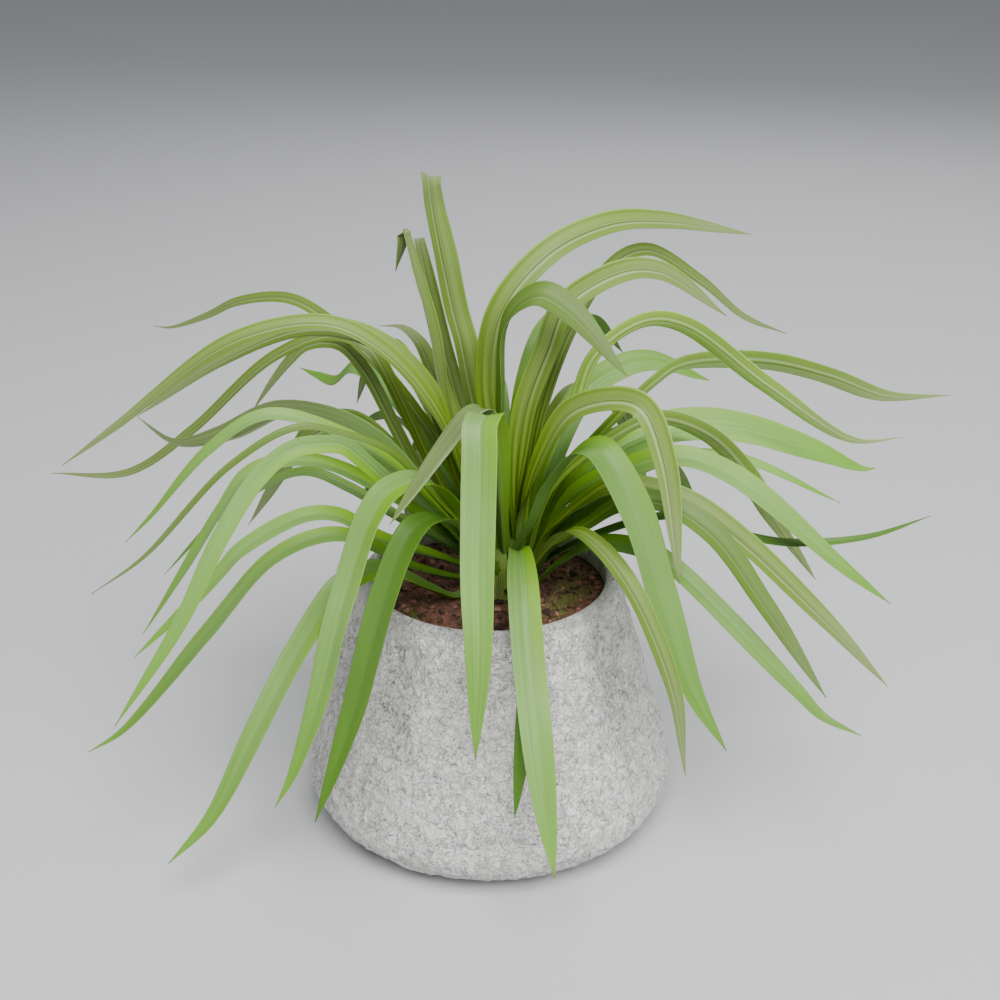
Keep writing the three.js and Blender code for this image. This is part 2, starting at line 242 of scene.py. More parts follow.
    def mixed(self, share: Value, first: Paint, second: Paint, how: str = "MIX") -> Wire:
        """Two colours mixed by a share."""
        settings = {"data_type": "RGBA", "blend_type": how}
        return self.wired(2, "ShaderNodeMix", settings, {0: share, 6: first, 7: second})

    def layered(self, skin: Wire, *coats: tuple[Value, Paint]) -> Wire:
        """A colour with others laid over it in turn, each by its own share.

        Args:
            skin: the lowest colour.
            *coats: pairs of share and colour.

        Returns:
            The last colour.
        """
        for share, colour in coats:
            skin = self.mixed(share, skin, colour)
        return skin

    def graded(self, value: Wire, wanted: Stops) -> Wire:
        """A colour read off a ramp."""
        return self.wired(0, "ShaderNodeValToRGB", {"stops": wanted}, {0: value})

    def bumped(self, height: Wire, depth: float, strength: float = 1.0) -> Wire:
        """A normal from a height field; depth is in metres."""
        sockets = {"Height": height, "Distance": depth, "Strength": strength}
        return self.wired(0, "ShaderNodeBump", {}, sockets)

    def dress(self, colour: Wire, roughness: Value, normal: Wire, **fixed: float) -> bpy.types.Material:
        """Joins the finish to the shader.

        Args:
            colour: the base colour.
            roughness: a number or a wire.
            normal: the bump's normal.
            **fixed: numbers that are the same all over, by socket name with _ for a space.

        Returns:
            The finished material.
        """
        inputs = self.shader.inputs
        self.tree.links.new(colour.socket, inputs["Base Color"])
        self.tree.links.new(normal.socket, inputs["Normal"])
        if isinstance(roughness, Wire):
            self.tree.links.new(roughness.socket, inputs["Roughness"])
        else:
            inputs["Roughness"].default_value = roughness
        for name, value in fixed.items():
            inputs[name.replace("_", " ")].default_value = value
        return self.material


# ---- finishes


def stops(*rows: tuple[int, int, int, int]) -> Stops:
    """A ramp's stops from rows of place in hundredths and red, green and blue in thousandths."""
    return tuple((place / 100, (red / 1000, green / 1000, blue / 1000)) for place, red, green, blue in rows)


@dataclass(frozen=True)
class LeafFinish:
    """The skin of a blade.

    One half is a greyish green and the other a bright lime: partly the leaf's own yellow-green and partly
    painted light, for the lit half of the keel and the light through the blade. Both run through four
    colours, at the root, where they are darkest, at the crest of the arch, on the hanging part and at the
    tip, and lime fades out along the blade.
    """

    name: str
    dull: tuple[Colour, ...] = (
        (0.058, 0.135, 0.010), (0.140, 0.290, 0.045), (0.230, 0.435, 0.100), (0.165, 0.375, 0.036)
    )
    lime: tuple[Colour, ...] = (
        (0.085, 0.205, 0.0003), (0.180, 0.385, 0.0005), (0.240, 0.470, 0.022), (0.165, 0.380, 0.010)
    )
    tip: Colour = (0.190, 0.300, 0.035)
    keel: Colour = (0.420, 0.600, 0.270)
    under: Colour = (0.100, 0.170, 0.040)
    deep: Colour = (0.085, 0.220, 0.012)
    faded: Colour = (0.258, 0.292, 0.140)
    olive: tuple[Colour, Colour] = ((0.105, 0.145, 0.042), (0.185, 0.235, 0.085))
    olive_edge: Colour = (0.330, 0.400, 0.230)
    deepened: float = 0.75
    dulled: float = 0.55
    rim: Colour = (0.360, 0.480, 0.210)
    places: tuple[float, ...] = (0.02, 0.30, 0.58, 0.92)
    lime_end: tuple[float, float] = (0.30, 0.62)
    low_bands: Stops = ()
    bands: Stops = ()
    roughness: float = 0.46

    def along(self, sheet: "Sheet", share: Wire, colours: tuple[Colour, ...]) -> Wire:
        """The four colours of one half, met in turn from root to tip."""
        return sheet.graded(share, tuple(zip(self.places, colours)))

    def back(self, sheet: "Sheet", across: Wire, fine: Wire) -> Wire:
        """The dull olive of a blade that shows its underside, with one pale edge."""
        olive = sheet.mixed(fine.ramp(0.35, 0.65), *self.olive)
        return sheet.mixed(across.ramp(0.55, 0.90) * 0.8, olive, self.olive_edge)

    def make(self) -> bpy.types.Material:
        """Builds the material.

        Returns:
            The material.
        """
        sheet = Sheet(self.name)
        share, across, along, tone, below, turned, gain = sheet.carried(
            "share", "across", "along", "tone", "below", "turned", "gain"
        )
        fine = sheet.noise(sheet.joined(across * 9, along * 5, tone * 31), 1.0, 3, 0.2)
        broad = sheet.noise(sheet.joined(across * 2.6, along * 9, tone * 17), 1.0, 2)
        cloud = sheet.noise(sheet.joined(across * 1.1, along * 22, tone * 9), 1.0, 2)
        side = across + (broad - 0.5) * 0.7 + (tone - 0.5) * 0.5
        # Painted light: the lime half stands for the lit half of the keel and the light through the blade.
        lit_share = side.ramp(-0.15, 0.55) * (1 - share.ramp(*self.lime_end) * 0.86)
        dull, lime = self.along(sheet, share, self.dull), self.along(sheet, share, self.lime)
        skin = sheet.mixed(lit_share, dull, lime)
        if self.bands:
            spot = (across + (broad - 0.5) * 0.24 + (tone - 0.5) * 0.16) * 0.5 + 0.5
            low, high = sheet.graded(spot, self.low_bands), sheet.graded(spot, self.bands)
            banded = sheet.mixed(share.ramp(0.24, 0.46), low, high)
            skin = sheet.layered(
                skin, (share.ramp(0.0, 0.12) * 0.92, banded), (share.ramp(0.66, 1.0) * 0.60, self.faded)
            )
        midrib = 1 - abs(across + 0.05).ramp(0.0, 0.05)
        midrib = midrib * share.ramp(0.16, 0.34) * (1 - share.ramp(0.74, 0.95))
        skin = sheet.layered(
            skin,
            (fine.ramp(0.50, 0.78) * 0.22, self.keel),  # pale veins
            (fine.ramp(0.50, 0.24) * 0.26, self.under),  # dark veins
            (midrib * (0.15 + tone * 0.30), self.keel),
            (across.ramp(0.76, 0.98) * 0.55, lime),  # painted highlight: the lit edge, drawn brighter lime
            (abs(across).ramp(0.90, 1.0) * share.ramp(0.30, 0.50) * 0.40, self.rim),
            (share.ramp(0.955, 1.0) * 0.75, self.tip),
            (below * self.dulled * (1 - lit_share * 0.8), self.under),  # the underside
            (turned * 0.85, self.back(sheet, across, fine)),
            (tone.ramp(0.42, 0.0) * self.deepened, self.deep),  # the darker leaves
        )
        # Painted light: some leaves' undersides are painted brighter where they face away from the lamps.
        bright = (tone * 0.30 + 0.76 + (cloud - 0.5) * 0.16) * (below * gain + 1)
        skin = sheet.mixed(1.0, skin, sheet.grey(bright), "MULTIPLY")
        rough = self.roughness + (broad - 0.5) * 0.16 + below * 0.10
        veins = fine * 0.7 + broad * 0.3
        return sheet.dress(skin, rough, sheet.bumped(veins, 0.0003, 0.35), Specular_IOR_Level=0.36)


@dataclass(frozen=True)
class PlasterFinish:
    """Rough pale plaster: swirled chalky flakes, their whitest patches partly painted highlight, with
    painted shade in the short creases between them, on flakes turned from the light, in the grooves and on
    the lip.
    """

    name: str = "rough_plaster"
    pale: Colour = (0.930, 0.903, 0.865)
    warm: Colour = (0.840, 0.810, 0.762)
    # Grey for the plaster's own grey patches, and for painted shade on flakes turned from the light, in the
    # grooves and on the lip.
    grey: Colour = (0.540, 0.532, 0.518)
    # Painted shade: the dark of the cracks, nicks, flecks and folds between the flakes, where shade falls.
    crease: Colour = (0.170, 0.165, 0.155)
    # Whitest colour, partly the plaster's own chalky white and partly painted highlight on the flakes' lit
    # faces.
    chalk_and_highlight: Colour = (0.980, 0.975, 0.965)

    def make(self) -> bpy.types.Material:
        """Builds the material.

        Returns:
            The material.
        """
        sheet = Sheet(self.name)
        where = sheet.place()
        crease, groove, lip = sheet.carried("crease", "groove", "lip")
        coarse = sheet.noise(where, 34, 4, 0.8)
        patch = sheet.noise(where, 120, 5, 1.6)
        grain = sheet.noise(where, 1500, 4)
        upright = sheet.noise(sheet.vectors("MULTIPLY", where, (330.0, 330.0, 34.0)), 1.0, 3, 0.6)
        pushed = sheet.warped(where, 190, 0.009)
        large, shade, rim = sheet.plates(pushed, 150)
        small, tint, nick = sheet.plates(sheet.warped(pushed, 420, 0.003), 380)
        blot = sheet.noise(pushed, 270, 4, 1.4)
        fleck = sheet.noise(sheet.vectors("MULTIPLY", pushed, (1.0, 1.0, 0.55)), 620, 3, 1.0)
        lines = (1 - rim.ramp(0.0, 0.06)) * patch.ramp(0.50, 0.58)
        nicks = (1 - nick.ramp(0.0, 0.08)) * patch.ramp(0.50, 0.40)
        cracks = (1 - abs(upright - 0.5).ramp(0.0, 0.04)) * patch.ramp(0.42, 0.55)
        skin = sheet.layered(
            sheet.mixed(coarse.ramp(0.35, 0.68) * 0.7, self.pale, self.warm),
            # Grey patches, partly the plaster's own tone and partly painted shade on the flakes turned from
            # the light.
            ((shade * 0.40 + tint * 0.30 + blot * 0.60).ramp(0.68, 0.38) * 0.62, self.grey),
            # White patches, partly painted highlight on the lit flakes.
            ((tint * 0.35 + blot * 0.85).ramp(0.62, 0.85) * 0.90, self.chalk_and_highlight),
            # Painted shade in the cracks, nicks and flecks between the flakes and along their folds.
            (lines * 0.72, self.crease),
            (nicks * 0.16, self.crease),
            (fleck.ramp(0.57, 0.68) * coarse.ramp(0.66, 0.40) * 0.60, self.crease),
            (crease * (0.20 + patch * 0.55), self.crease),
            # Painted shade in the grooves: greyer in them, with dark cracks down them.
            (groove * 0.30, self.grey),
            (groove.ramp(0.10, 0.70) * cracks * 0.85, self.crease),
            (grain.ramp(0.58, 0.80) * 0.20, self.chalk_and_highlight),
            # Painted shade: the lip is drawn greyer, as in the shade of the leaves over it.
            (lip * 0.60, self.grey),
        )
        height = large * 0.90 + small * 0.50 + blot * 0.60 - fleck.ramp(0.56, 0.72) * 0.25 + grain * 0.08
        return sheet.dress(skin, 0.88 + (grain - 0.5) * 0.14, sheet.bumped(height, 0.0040, 1.0))


@dataclass(frozen=True)
class SoilFinish:
    """Moist crumbly potting soil with bits of bark, grit and a little moss."""

    name: str = "potting_soil"
    dark: Colour = (0.080, 0.038, 0.024)
    brown: Colour = (0.178, 0.076, 0.047)
    rust: Colour = (0.285, 0.115, 0.072)
    grit: Colour = (0.300, 0.150, 0.100)
    moss: Colour = (0.120, 0.130, 0.024)

    def make(self) -> bpy.types.Material:
        """Builds the material.

        Returns:
            The material.
        """
        sheet = Sheet(self.name)
        where = sheet.place()
        damp = sheet.noise(where, 60, 4, 0.3)
        crumb = sheet.noise(where, 330, 5, 0.5)
        speck = sheet.noise(where, 950, 3)
        (growth,) = sheet.carried("moss")
        skin = sheet.layered(
            sheet.mixed(crumb.ramp(0.40, 0.60), self.dark, self.brown),
            (damp.ramp(0.45, 0.70) * 0.6, self.rust),
            (speck.ramp(0.64, 0.74) * 0.7, self.grit),
            ((growth * (crumb * 0.6 + speck * 0.7)).ramp(0.40, 0.62) * 0.8, self.moss),
        )
        height = crumb * 0.6 + speck * 0.4
        return sheet.dress(skin, 0.93 - damp * 0.12, sheet.bumped(height, 0.0016, 1.0))


@dataclass(frozen=True)
class CrumbFinish:
    """Loose bits on the soil. Their tint runs from dark crumb through bark to pink grit and moss, with
    painted shade in their fine grain.
    """

    name: str = "soil_crumbs"
    tints: Stops = stops(
        (0, 24, 12, 9), (35, 90, 38, 24), (60, 190, 80, 45), (74, 360, 140, 95), (84, 420, 210, 140),
        (92, 95, 125, 10), (100, 190, 210, 20),
    )
    # Painted shade, laid over the bits where their fine grain is high.
    crumb_shade: Colour = (0.030, 0.017, 0.012)

    def make(self) -> bpy.types.Material:
        """Builds the material.

        Returns:
            The material.
        """
        sheet = Sheet(self.name)
        where = sheet.place()
        (tint,) = sheet.carried("tint")
        grain = sheet.noise(where, 1400, 3)
        skin = sheet.mixed(grain.ramp(0.40, 0.75) * 0.35, sheet.graded(tint, self.tints), self.crumb_shade)
        return sheet.dress(skin, 0.88 - tint * 0.10, sheet.bumped(grain, 0.0004, 0.8))


@dataclass(frozen=True)
class StemFinish:
    """The pale sheaths of the crown, green above and yellowish where they meet the soil."""

    name: str = "crown_sheath"
    green: Colour = (0.110, 0.210, 0.010)
    pale: Colour = (0.250, 0.330, 0.070)
    shade: Colour = (0.045, 0.075, 0.005)

    def make(self) -> bpy.types.Material:
        """Builds the material.

        Returns:
            The material.
        """
        sheet = Sheet(self.name)
        where = sheet.place()
        height, round_about = sheet.carried("height", "round")
        fibre = sheet.noise(sheet.joined(round_about * 34, height * 1.6, 0.0), 1.0, 4)
        blotch = sheet.noise(where, 110, 3)
        skin = sheet.layered(
            sheet.mixed(height.ramp(0.10, 0.85), self.pale, self.green),
            (fibre.ramp(0.50, 0.30) * 0.70, self.shade),
            (blotch.ramp(0.55, 0.80) * 0.45, self.pale),
        )
        return sheet.dress(skin, 0.52 + (blotch - 0.5) * 0.2, sheet.bumped(fibre, 0.0012, 0.8))


@dataclass(frozen=True)
class FloorFinish:
    """The plain pale studio floor."""

    name: str = "studio_floor"
    colour: Colour = (0.62, 0.62, 0.63)
    dusty: Colour = (0.56, 0.56, 0.57)

    def make(self) -> bpy.types.Material:
        """Builds the material.

        Returns:
            The material.
        """
        sheet = Sheet(self.name)
        dust = sheet.noise(sheet.place(), 3.0, 2)
        skin = sheet.mixed(dust * 0.06, self.colour, self.dusty)
        return sheet.dress(skin, 0.85, sheet.bumped(dust, 0.0001, 0.1))


# The stripes across a blade, from its duller edge to its brighter one, near the root and further out.
ROOT_BANDS = stops(
    (0, 48, 105, 1), (12, 130, 225, 2), (22, 50, 110, 1), (32, 210, 310, 14), (42, 150, 245, 6),
    (48, 36, 78, 1), (55, 120, 210, 4), (66, 225, 330, 30), (78, 78, 155, 2), (90, 170, 275, 5),
    (100, 90, 170, 1),
)
BLADE_BANDS = stops(
    (0, 70, 140, 3), (10, 150, 260, 10), (27, 135, 220, 25), (34, 340, 430, 180), (40, 160, 245, 35),
    (45, 38, 82, 2), (50, 135, 215, 26), (60, 200, 290, 54), (82, 172, 270, 34), (93, 105, 195, 4),
    (100, 210, 310, 60),
)


class Finishes:
    """Makes each finish once."""

    def __init__(self) -> None:
        """Builds every material of the plant."""
        self.plain = LeafFinish("leaf_plain").make()
        striped = {"low_bands": ROOT_BANDS, "bands": BLADE_BANDS, "deepened": 0.45, "dulled": 0.20}
        self.striped = LeafFinish("leaf_striped", roughness=0.50, **striped).make()
        self.plaster = PlasterFinish().make()
        self.soil = SoilFinish().make()
        self.crumbs = CrumbFinish().make()
        self.stem = StemFinish().make()


# ---- surfaces on grids


def smoothstep(low: float, high: float, value: Array) -> Array:
    """0 below low, 1 above high and 3 t^2 - 2 t^3 between them."""
    share = np.clip((value - low) / (high - low), 0.0, 1.0)
    return share * share * (3 - 2 * share)


def curve_through(points: Array, count: int) -> Array:
    """Even steps along a smooth curve through points.

    Between two points the curve is a cubic whose slopes come from their neighbours, each step weighed by
    the square root of the distance between points (centripetal Catmull-Rom), as in the solids.

    Args:
        points: the points that it passes, one a row.
        count: how many places to return, spread evenly by length.

    Returns:
        The places, one a row.
    """
    first, last = 2 * points[0] - points[1], 2 * points[-1] - points[-2]
    chain = np.vstack([first, points, last])
    before, start, end, after = chain[:-3], chain[1:-2], chain[2:-1], chain[3:]
    pairs = ((before, start), (start, end), (end, after))
    gaps = [np.linalg.norm(b - a, axis=1, keepdims=True) ** 0.5 for a, b in pairs]
    slope_in = (start - before) / gaps[0] - (end - before) / (gaps[0] + gaps[1]) + (end - start) / gaps[1]
    slope_out = (end - start) / gaps[1] - (after - start) / (gaps[1] + gaps[2]) + (after - end) / gaps[2]
    slope_in, slope_out = slope_in * gaps[1], slope_out * gaps[1]
    t = np.linspace(0, 1, STEPS_BETWEEN, endpoint=False)[None, :, None]
    a, b = start[:, None], end[:, None]
    m, n = slope_in[:, None], slope_out[:, None]
    fine = a + m * t + (3 * (b - a) - 2 * m - n) * t**2 + (2 * (a - b) + m + n) * t**3
    fine = np.vstack([fine.reshape(-1, points.shape[1]), points[-1:]])
    length = np.concatenate([[0.0], np.cumsum(np.linalg.norm(np.diff(fine, axis=0), axis=1))])
    wanted = np.linspace(0, length[-1], count)
    return np.column_stack([np.interp(wanted, length, fine[:, k]) for k in range(points.shape[1])])


def lattice_noise(x: Array, y: Array, size: float, around: float, rng: np.random.Generator) -> Array:
    """Random heights between -1 and 1 on a lattice, eased between its points.

    Args:
        x: place round the piece, which repeats after around.
        y: place up the piece.
        size: distance between the lattice's points.
        around: the length after which x repeats, or 0 if it doesn't.
        rng: where the random heights come from.

    Returns:
        The height at each place.
    """
    rows = 512
    columns = max(3, round(around / size)) if around else rows
    step = around / columns if around else size
    table = rng.uniform(-1, 1, (rows, columns))
    u, v = x / step, y / size + 64
    i, j = np.floor(u).astype(int), np.floor(v).astype(int)
    fu, fv = u - i, v - j
    fu, fv = fu * fu * (3 - 2 * fu), fv * fv * (3 - 2 * fv)

    def at(p: Array, q: Array) -> Array:
        """The table's height at a lattice point."""
        return table[q % rows, p % columns]

    low = at(i, j) * (1 - fu) + at(i + 1, j) * fu
    high = at(i, j + 1) * (1 - fu) + at(i + 1, j + 1) * fu
    return low * (1 - fv) + high * fv


def grid_faces(rows: int, columns: int) -> Array:
    """The four corners of each face between neighbouring rows, whose last column joins the first.

    Args:
        rows: how many rows.
        columns: how many columns, in a ring.

    Returns:
        Four point numbers for each face.
    """
    r, c = np.meshgrid(np.arange(rows - 1), np.arange(columns), indexing="ij")
    here, beside = r * columns + c, r * columns + (c + 1) % columns
    return np.stack([here, beside, beside + columns, here + columns], axis=-1).reshape(-1, 4)


@dataclass
class Piece:
    """A mesh with its attributes, ready to be placed in the scene."""

    name: str
    points: Array
    faces: list
    attributes: dict[str, Array]

    def place(
        self, material: bpy.types.Material, slot: str, replaced: Sequence[str] = (), smooth: bool = True
    ) -> None:
        """Makes the object and ties it to the frame.

        Args:
            material: its finish.
            slot: the record's material slot; not used.
            replaced: CAD nodes that it stands for.
            smooth: whether its faces are shaded as one curved skin.
        """
        mesh = bpy.data.meshes.new(self.name)
        mesh.from_pydata((self.points * MM).tolist(), [], self.faces)
        mesh.polygons.foreach_set("use_smooth", [smooth] * len(mesh.polygons))
        for name, values in self.attributes.items():
            layer = mesh.attributes.new(name, "FLOAT", "POINT")
            layer.data.foreach_set("value", np.ascontiguousarray(values, dtype=np.float32).ravel())
        mesh.materials.append(material)
        mesh.update()
        made = bpy.data.objects.new(self.name, mesh)
        bpy.context.scene.collection.objects.link(made)
        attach(made, "root")
        if replaced:
            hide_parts(*replaced)
        LOG.info("%s: %d faces", self.name, len(mesh.polygons))


def spun(profile: Array, columns: int) -> tuple[Array, Array]:
    """A profile turned about Z.

    Args:
        profile: rows of radius and height, from below the axis round to above it, without points on it.
        columns: how many steps round.

    Returns:
        The points as rows by columns by 3, and the angle of each column.
    """
    angle = np.linspace(0, 2 * np.pi, columns, endpoint=False)
    radius, height = profile[:, :1], profile[:, 1:]
    x, y = radius * np.cos(angle), radius * np.sin(angle)
    return np.stack([x, y, np.broadcast_to(height, x.shape)], axis=-1), angle


def closed_spin(grid: Array, first: Array, last: Array) -> tuple[Array, list]:
    """A spun grid closed by a fan at each end.

    Args:
        grid: rows by columns by 3.
        first: the point on the axis that closes the first row.
        last: the point that closes the last row.

    Returns:
        All points, and all faces with their outside outwards.
    """
    rows, columns = grid.shape[:2]
    points = np.vstack([grid.reshape(-1, 3), first, last])
    faces = grid_faces(rows, columns).tolist()
    around = np.arange(columns)
    beside = (around + 1) % columns
    end = rows * columns
    top = end - columns
    for middle, one, other in ((end, beside, around), (end + 1, top + around, top + beside)):
        faces += np.column_stack([np.full(columns, middle), one, other]).tolist()
    return points, faces


# ---- pot and soil


@dataclass
class PlasterPot:
    """A hollow pot with a wide low shoulder, four soft grooves, a narrow round lip and a rough skin.

    The relief is laid on the unrolled wall, so its sizes are lengths on the wall at the middle radius.
    """

    height: float = 149.3
    wall: float = 8.5
    floor: float = 12.0
    rim_outer: float = 74.4
    rim_inner: float = 67.5
    columns: int = 540
    outline: tuple = (
        (86, 0), (92.5, 1.8), (98.5, 5.4), (104, 10.5), (108.2, 16.5), (110, 23), (108.8, 31), (105.8, 42),
        (102.1, 54), (98, 68), (93.9, 82), (89.5, 97), (85.4, 112), (81.2, 126), (77, 140),
    )
    groove_first: float = -126.0
    groove_depth: float = 4.0
    groove_half: float = 9.0
    groove_low: float = 45.0
    groove_high: float = 146.0
    swell_depth: float = 0.35
    swell_waves: tuple = ((9, 0.14, 0.7), (-12, 0.12, 2.1))
    flake_sizes: tuple = (8.5, 4.4, 2.2)
    flake_depths: tuple = (0.90, 0.34, 0.16)
    middle_radius: float = 92.0
    lip_steps: int = 9
    outside_steps: int = 132
    inside_steps: int = 18

    def inner_wall(self) -> list[tuple[float, float]]:
        """Radius and height of the inner wall, from the floor's edge up to the rim.

        Returns:
            Pairs of radius and height.
        """
        outer = np.array(self.outline)
        heights = (self.floor + 8, 34, 60, 88, 114)
        wall = [(float(np.interp(h, outer[:, 1], outer[:, 0])) - self.wall, h) for h in heights]
        return [(wall[0][0] - 8, self.floor), *wall, (self.rim_inner + 0.8, 136)]

    def rim(self) -> list[tuple[float, float]]:
        """The half round of the lip, from the outside over to the inside.

        Returns:
            Pairs of radius and height.
        """
        radius = (self.rim_outer - self.rim_inner) / 2
        turn = np.linspace(0, np.pi, self.lip_steps)
        middle = self.rim_inner + radius
        return list(zip(middle + radius * np.cos(turn), self.height - radius + radius * np.sin(turn)))

    def grooves(self, angle: Array, height: Array) -> Array:
        """How far the four grooves draw the wall in: a bell over the angle, eased out below and above.

        Args:
            angle: angles round the pot, in radians.
            height: heights.

        Returns:
            The depth at each place.
        """
        depth = np.zeros(np.broadcast_shapes(angle.shape, height.shape))
        for k in range(4):
            away = (np.degrees(angle) - self.groove_first - 90 * k + 540) % 360 - 180
            depth = depth + self.groove_depth * np.exp(-((away / self.groove_half) ** 2))
        rise = smoothstep(self.groove_low, self.groove_low + 55, height)
        return depth * rise * (1 - smoothstep(self.groove_high - 16, self.groove_high, height))

    def swell(self, angle: Array, height: Array) -> Array:
        """How far the wall stands out: two slow sine waves that cross, eased out at foot and rim."""
        stand = sum(np.sin(n * angle + climb * height + start) for n, climb, start in self.swell_waves)
        return self.swell_depth * stand * smoothstep(6, 20, height) * (1 - smoothstep(128, 142, height))

    def build(self, finish: bpy.types.Material) -> None:
        """Lays the outside on a fine grid, presses the flakes into it and closes it over the inside.

        The flakes are ridged noise, 1 less twice the size of lattice noise, in two sizes and with a fine
        grain, read at places that slower noise pushes about. Flakes, swell and grooves are added square to
        the wall.

        Args:
            finish: its finish.
        """
        rng = np.random.default_rng(SEED)
        lip = self.rim()
        outside = curve_through(np.array([*self.outline[1:], lip[0]], dtype=float), self.outside_steps)
        foot = np.array([[40.0, 0.0], [70.0, 0.0], [84.0, 0.0], [88.5, 0.35]])
        inside = np.array([lip[-1], *self.inner_wall()[::-1]], dtype=float)
        inside = curve_through(inside, self.inside_steps)[1:]
        profile = np.vstack([foot, outside, lip[1:], inside, [[30.0, self.floor]]])
        grid, angle = spun(profile, self.columns)
        height = profile[:, 1:]
        shown = np.zeros((len(profile), 1))
        shown[len(foot) - 1 : len(foot) + len(outside)] = 1
        walk = np.concatenate([[0], np.cumsum(np.linalg.norm(np.diff(profile, axis=0), axis=1))])[:, None]
        around = 2 * np.pi * self.middle_radius
        x, y = np.broadcast_arrays(angle * self.middle_radius, walk)

        def noise(size: float, right: Union[Array, float] = 0.0, up: Union[Array, float] = 0.0) -> Array:
            """Lattice noise of one size on the wall, read at a place that is pushed right and up."""
            return lattice_noise(x + right, y + up, size, around, rng)

        warp_x = noise(11) * 5.0 + noise(4.5) * 1.8
        warp_y = noise(9) * 4.2 + noise(4.0) * 1.6
        wide, middling, fine = self.flake_sizes
        large = 1 - 2 * np.abs(noise(wide, warp_x, warp_y))
        small = 1 - 2 * np.abs(noise(middling, warp_y, warp_x))
        calm = np.clip(1 - smoothstep(self.height - 16, self.height - 5, height), 0.10, 1)
        rough = shown * calm * smoothstep(0.4, 7.0, height)
        deep, shallow, faint = self.flake_depths
        relief = rough * (deep * (large**3 - 0.4) + shallow * small + faint * noise(fine))
        groove = self.grooves(angle[None, :], height)
        relief = relief + (self.swell(angle[None, :], height) - groove) * shown
        lean = np.gradient(profile, axis=0)
        normal = np.stack([lean[:, 1], -lean[:, 0]], axis=-1)
        normal /= np.linalg.norm(normal, axis=1, keepdims=True)
        out = normal[:, :1] * relief
        grid[..., 0] += out * np.cos(angle)
        grid[..., 1] += out * np.sin(angle)
        grid[..., 2] = np.maximum(grid[..., 2] + normal[:, 1:] * relief, 0.0)
        points, faces = closed_spin(grid, np.zeros(3), np.array([0, 0, self.floor]))
        # Where the finish paints shade along the flakes' folds.
        crease = smoothstep(0.90, 0.99, large) * smoothstep(-0.2, 0.4, small) * rough
        fields = {
            "crease": crease,
            # The grooves' depth, which the finish uses to paint shade in them.
            "groove": groove * shown / self.groove_depth,
            # The lip, which the finish paints greyer as shade.
            "lip": np.broadcast_to(smoothstep(142, 146.5, height), crease.shape),
        }
        attributes = {name: np.append(field.ravel(), [0, 0]) for name, field in fields.items()}
        Piece("pot_shell", points, faces, attributes).place(finish, "plaster", ["pot"])


